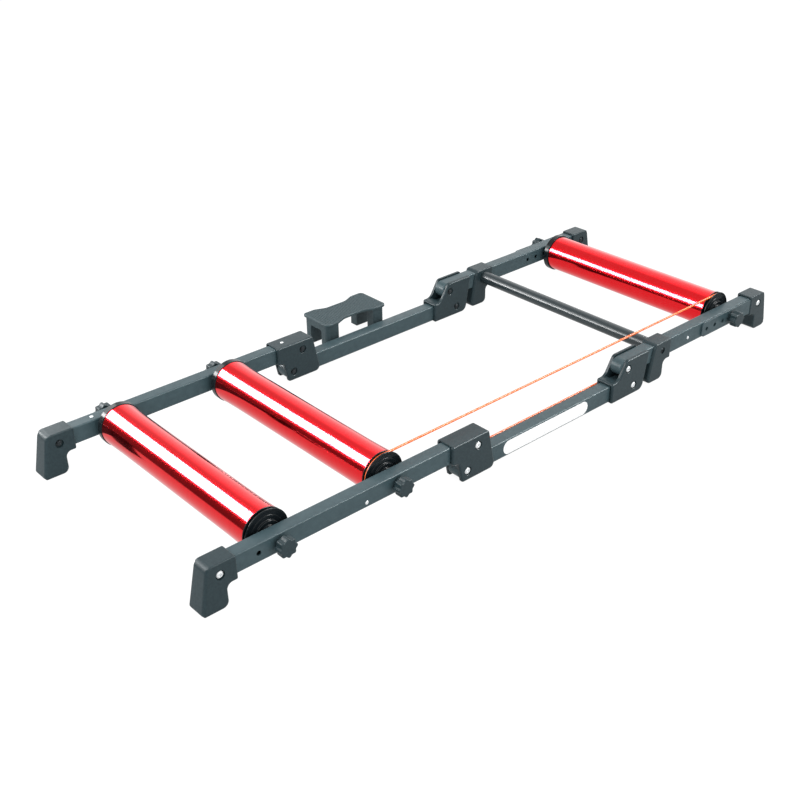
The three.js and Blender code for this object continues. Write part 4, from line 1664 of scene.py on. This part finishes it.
@dataclass(frozen=True)
class StepStool:
    """Moulded step stool: a waisted, ribbed tread on four hollow corner legs."""

    top: float = 0.005
    rim: float = 0.003
    recess: float = 0.0008
    apron: float = 0.013
    inset: float = 0.003
    leg_long: float = 0.030
    leg_short: float = 0.0195
    wall: float = 0.003
    waist: float = 0.060
    corner: float = 0.009
    shoulder_radius: float = 0.018
    waist_radius: float = 0.027
    edge: float = 0.0012
    arch_radius: float = 0.004
    waist_share: float = 0.32
    shoulder_share: float = 0.62
    rib_pitch: float = 0.0046
    rib_width: float = 0.0022
    rib_height: float = 0.0008
    rib_sink: float = 0.0002
    leg_edge: float = 0.0006
    well_edge: float = 0.0004
    well_flare: float = 0.0002

    def build(self) -> None:
        """Builds the stool."""
        low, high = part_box("step_stool")
        place = node_centre("step_stool")
        place.z = 0.0
        half_long = (high.x - low.x) / 2
        half_deep = (high.y - low.y) / 2
        height = high.z
        well_floor = height - self.recess
        top = prism(self._outline(half_long, half_deep, 0.0), height - self.top, height, Plane.PLAN,
                    self.edge)
        tread = self._outline(half_long, half_deep, self.rim)
        well = stacked(tread, [
            (self.well_edge, well_floor), (0.0, well_floor + self.well_edge),
            (-self.well_flare, height + self.recess),
        ], Plane.PLAN)
        body = self._legs(half_long, half_deep, height).joined(top).cut(well)
        field = prism(tread, well_floor - self.well_edge, height, Plane.PLAN)
        ribs = self._ribs(half_long, height).shared(field)
        place_piece("step_stool_body", body.moved(place), STOOL_PLASTIC, ["step_stool"])
        place_piece("step_stool_ribs", ribs.moved(place), STOOL_PLASTIC, body=body_of("step_stool"))

    def _legs(self, half_long: float, half_deep: float, height: float) -> Solid:
        """Four hollow corner legs in one, with the arches between them.

        Args:
            half_long: half of the stool's length.
            half_deep: half of its depth.
            height: its height.

        Returns:
            The legs.
        """
        under = height - self.top
        inner_long = half_long - self.inset - self.wall
        inner_deep = half_deep - self.inset - self.wall
        arch_long = half_long - self.inset - self.leg_long
        arch_deep = half_deep - self.inset - self.leg_short
        legs = prism(self._outline(half_long, half_deep, self.inset), 0.0, height - self.top / 2,
                     Plane.PLAN, self.leg_edge)
        openings = [rectangle(-inner_long, -arch_deep, inner_long, arch_deep)]
        for along in (-1, 1):
            for across in (-1, 1):
                left, right = sorted((along * (arch_long + self.wall), along * inner_long))
                near, far = sorted((across * (arch_deep + self.wall), across * inner_deep))
                openings.append(rectangle(left, near, right, far, self.wall))
        hollows = [prism(opening, -OVERRUN, under, Plane.PLAN) for opening in openings]
        side_arch = prism(self._arch(arch_long, under), -half_deep * 2, half_deep * 2, Plane.SIDE)
        end_arch = prism(self._arch(arch_deep, under - self.apron), -half_long * 2, half_long * 2,
                         Plane.END)
        return legs.cut(*hollows, side_arch, end_arch)

    def _outline(self, half_long: float, half_deep: float, inset: float) -> list[Point]:
        """Waisted outline of the stool.

        Args:
            half_long: half of the stool's length.
            half_deep: half of its depth.
            inset: how far the outline is drawn in.

        Returns:
            The outline.
        """
        long = half_long - inset
        deep = half_deep - inset
        waist = self.waist / 2 - inset
        edge = [
            (long, deep, self.corner),
            (long * self.shoulder_share, deep, self.shoulder_radius),
            (long * self.waist_share, waist, self.waist_radius),
            (-long * self.waist_share, waist, self.waist_radius),
            (-long * self.shoulder_share, deep, self.shoulder_radius),
            (-long, deep, self.corner),
        ]
        return rounded_outline([*edge, *[(-x, -y, radius) for x, y, radius in edge]])

    def _arch(self, half: float, top: float) -> list[Point]:
        """Opening from below the floor up to a level, its upper corners rounded."""
        return rounded_outline([
            (-half, -OVERRUN, 0.0), (half, -OVERRUN, 0.0),
            (half, top, self.arch_radius), (-half, top, self.arch_radius),
        ])

    def _ribs(self, half_long: float, height: float) -> Solid:
        """Ribs across the whole tread, before they are trimmed to its outline.

        Args:
            half_long: half of the stool's length.
            height: its height.

        Returns:
            The ribs.
        """
        tree, given = geometry_tree("tread_ribs", {
            "Pitch": "NodeSocketFloat", "Width": "NodeSocketFloat", "Height": "NodeSocketFloat",
            "Length": "NodeSocketFloat", "Count": "NodeSocketInt", "Material": "NodeSocketMaterial",
        })
        size = add_node(tree, "ShaderNodeCombineXYZ", {
            "X": given["Width"], "Y": given["Length"], "Z": given["Height"],
        })
        rib = add_node(tree, "GeometryNodeMeshCube", {"Size": size})
        step = add_node(tree, "ShaderNodeCombineXYZ", {"X": given["Pitch"]})
        row = add_node(tree, "GeometryNodeMeshLine", {"Count": given["Count"], "Offset": step})
        placed = add_node(tree, "GeometryNodeInstanceOnPoints", {"Points": row, "Instance": rib})
        middle = height - self.recess + self.rib_height / 2 - self.rib_sink
        centred = add_node(tree, "GeometryNodeTransform", {
            "Geometry": placed, "Translation": (-half_long, 0.0, middle),
        })
        close_tree(tree, centred, given["Material"])
        return grown(bpy.data.meshes.new("rib_seed"), tree, {
            "Pitch": self.rib_pitch, "Width": self.rib_width, "Height": self.rib_height,
            "Length": 2 * half_long, "Count": round(2 * half_long / self.rib_pitch),
            "Material": STOOL_PLASTIC.material(),
        })


# Studio

@dataclass(frozen=True)
class Softbox:
    """Rectangular lamp that the camera doesn't see: a soft light, or a card for reflections only."""

    name: str
    centre: Triple
    aim: Triple
    width: float
    height: float
    radiance: float
    shown: Shown = Shown.LIGHT

    def build(self) -> None:
        """Hangs the lamp or card, its height upright where it can be."""
        thing = self._card() if self.shown is Shown.CARD else self._lamp()
        thing.location = self.centre
        direction = Vector(self.aim) - Vector(self.centre)
        thing.rotation_euler = direction.to_track_quat("-Z", "Y").to_euler()
        thing.visible_camera = False
        thing.visible_diffuse = self.shown is Shown.LIGHT
        thing.visible_glossy = self.shown is not Shown.LIGHT
        if self.shown in (Shown.STREAK, Shown.GLINT):
            thing.light_linking.receiver_collection = self.shown.receivers()

    def _lamp(self) -> bpy.types.Object:
        """Area lamp of the softbox's size.

        Returns:
            The lamp's object.
        """
        lamp = bpy.data.lights.new(self.name, "AREA")
        lamp.shape = "RECTANGLE"
        lamp.size = self.width
        lamp.size_y = self.height
        lamp.energy = self.radiance * math.pi * self.width * self.height
        return linked_object(self.name, lamp)

    def _card(self) -> bpy.types.Object:
        """Glowing or dark card that only shows in reflections.

        Returns:
            The card's object.
        """
        material = bpy.data.materials.new(self.name + "_glow")
        tree = empty_tree(material)
        glow = add_node(tree, "ShaderNodeEmission", {"Strength": self.radiance})
        add_node(tree, "ShaderNodeOutputMaterial", {"Surface": glow})
        card = linked_object(self.name, flat_sheet(self.name, self.width, self.height, material))
        card.visible_transmission = False
        card.visible_shadow = False
        return card


def flat_sheet(name: str, width: float, depth: float, material: bpy.types.Material) -> bpy.types.Mesh:
    """Flat rectangle about the origin.

    Args:
        name: name of the mesh.
        width: size in X.
        depth: size in Y.
        material: its material.

    Returns:
        The mesh.
    """
    corners = rectangle(-width / 2, -depth / 2, width / 2, depth / 2)
    mesh = bpy.data.meshes.new(name)
    mesh.from_pydata([(x, y, 0.0) for x, y in corners], [], [range(len(corners))])
    mesh.materials.append(material)
    return mesh


@dataclass(frozen=True)
class Studio:
    """Camera, lamps, floor and background."""

    camera_place: Triple = (-1.3270, -1.42485, 1.0726)
    camera_yaw: float = math.radians(41.43)
    camera_pitch: float = math.radians(29.65)
    camera_roll: float = math.radians(-0.64)
    camera_lens: float = 52.19
    camera_sensor: float = 36.0
    camera_near: float = 0.05
    floor_size: float = 30.0
    floor_share: float = 0.86
    floor_glow: float = 1.09
    floor_mirrored: float = 0.86
    floor_bounce: float = 0.6
    floor_white: float = 0.9
    ambient: float = 0.8
    behind: float = 0.85
    backdrop: float = 1.7
    backdrop_side: Triple = (0.707, -0.707, 0.0)
    backdrop_range: Range = (-0.39, -0.14)
    lamps: tuple[Softbox, ...] = (
        Softbox("left_softbox", (-1.155, 0.95, 0.76), (0.0, 0.95, 0.76), 2.9, 1.28, 1.6),
        Softbox("top_softbox", (0.1, 0.1, 2.4), (0.1, 0.0, 0.0), 3.2, 3.0, 1.1),
        Softbox("front_softbox", (-0.1, -2.4, 0.9), (0.1, 0.0, 0.05), 2.0, 1.4, 2.3),
        Softbox("streak", (-1.04, 0.95, 0.857), (-0.787, 0.95, 0.183), 3.2, 0.812, 58.0, Shown.STREAK),
        Softbox("brow_glint", (-1.04, 0.95, 0.857), (-0.5, 0.5, 0.0), 3.2, 0.812, 5.0, Shown.GLINT),
        Softbox("brow_spot", (-1.75, 1.65, 0.78), (-0.69, 0.0, 0.09), 0.9, 0.5, 30.0, Shown.GLINT),
        Softbox("edge_glint", (1.6, -1.4, 1.8), (0.2, 0.0, 0.05), 1.6, 1.2, 26.0, Shown.GLINT),
        Softbox("left_flag", (-1.07, 1.0, 0.18), (0.0, 1.0, 0.18), 3.6, 0.37, 0.15, Shown.CARD),
    )

    def build(self) -> None:
        """Builds the studio."""
        self._camera()
        self._world()
        self._floor()
        for lamp in self.lamps:
            lamp.build()
        bpy.context.scene.view_settings.view_transform = "Standard"
        log.info("studio: camera, %d lamps and cards, floor", len(self.lamps))

    def _camera(self) -> None:
        """Sets up the camera at the photograph's viewing angle."""
        yaw, pitch, roll = self.camera_yaw, self.camera_pitch, self.camera_roll
        forward = Vector((math.sin(yaw) * math.cos(pitch), math.cos(yaw) * math.cos(pitch),
                          -math.sin(pitch)))
        level = Vector((math.cos(yaw), -math.sin(yaw), 0.0))
        upright = level.cross(forward)
        right = math.cos(roll) * level + math.sin(roll) * upright
        up = math.cos(roll) * upright - math.sin(roll) * level
        lens = bpy.data.cameras.new("camera")
        lens.lens = self.camera_lens
        lens.sensor_width = self.camera_sensor
        lens.clip_start = self.camera_near
        camera = linked_object("camera", lens)
        axes = Matrix((right, up, -forward)).transposed().to_4x4()
        camera.matrix_world = Matrix.Translation(self.camera_place) @ axes
        bpy.context.scene.camera = camera

    @staticmethod
    def _seen(tree: Tree) -> Node:
        """Factor that tells rays that the picture shows from rays that only light it.

        Args:
            tree: shader tree.

        Returns:
            1 for rays from the camera, from glossy surfaces and through clear ones, otherwise 0.
        """
        path = add_node(tree, "ShaderNodeLightPath").outputs
        first = add_node(tree, "ShaderNodeMath", {
            0: path["Is Camera Ray"], 1: path["Is Glossy Ray"],
        }, operation="MAXIMUM")
        return add_node(tree, "ShaderNodeMath", {
            0: first, 1: path["Is Transmission Ray"],
        }, operation="MAXIMUM")

    def _world(self) -> None:
        """White background with soft fill; in reflections it is brighter, but not low at the rear left."""
        world = bpy.data.worlds.new("studio")
        tree = empty_tree(world)
        towards = add_node(tree, "ShaderNodeVectorMath", {
            0: add_node(tree, "ShaderNodeTexCoord").outputs["Generated"], 1: self.backdrop_side,
        }, operation="DOT_PRODUCT")
        mirrored = add_node(tree, "ShaderNodeMapRange", {
            "Value": towards.outputs["Value"],
            "From Min": self.backdrop_range[0], "From Max": self.backdrop_range[1],
            "To Min": self.behind, "To Max": self.backdrop,
        }, interpolation_type="SMOOTHSTEP")
        glossy = add_node(tree, "ShaderNodeLightPath").outputs["Is Glossy Ray"]
        shown = mix(tree, glossy, 1.0, mirrored)
        light = add_node(tree, "ShaderNodeBackground", {
            "Color": (1.0, 1.0, 1.0, 1.0), "Strength": mix(tree, self._seen(tree), self.ambient, shown),
        })
        add_node(tree, "ShaderNodeOutputWorld", {"Surface": light})
        bpy.context.scene.world = world

    def _floor(self) -> None:
        """White floor that keeps a faint shadow and throws little light back up."""
        material = bpy.data.materials.new("floor_white")
        tree = empty_tree(material)
        grey = add_node(tree, "ShaderNodeMapRange", {
            "Value": self._seen(tree), "To Min": self.floor_bounce, "To Max": self.floor_white,
        })
        matt = add_node(tree, "ShaderNodeBsdfDiffuse", {"Color": grey})
        glossy = add_node(tree, "ShaderNodeLightPath").outputs["Is Glossy Ray"]
        strength = mix(tree, glossy, self.floor_glow, self.floor_mirrored)
        glow = add_node(tree, "ShaderNodeEmission", {"Strength": strength})
        share = add_node(tree, "ShaderNodeMath", {0: self._seen(tree), 1: self.floor_share},
                         operation="MULTIPLY")
        mixed = add_node(tree, "ShaderNodeMixShader", {0: share, 1: matt, 2: glow})
        add_node(tree, "ShaderNodeOutputMaterial", {"Surface": mixed})
        floor = linked_object("floor", flat_sheet("floor", self.floor_size, self.floor_size, material))


def main() -> None:
    """Builds the studio and every sub-assembly in order."""
    logging.basicConfig(level=logging.INFO, format="%(name)s: %(message)s")
    parts = (Studio(), Rails(), BareLabel(), HingeHousings(), Feet(), CrossTube(), AdjustingPlates(),
             Fasteners(), Rivets(), Rollers(), Knobs(), DriveBelt(), StepStool())
    for part in parts:
        part.build()


if __name__ == "__main__":
    main()
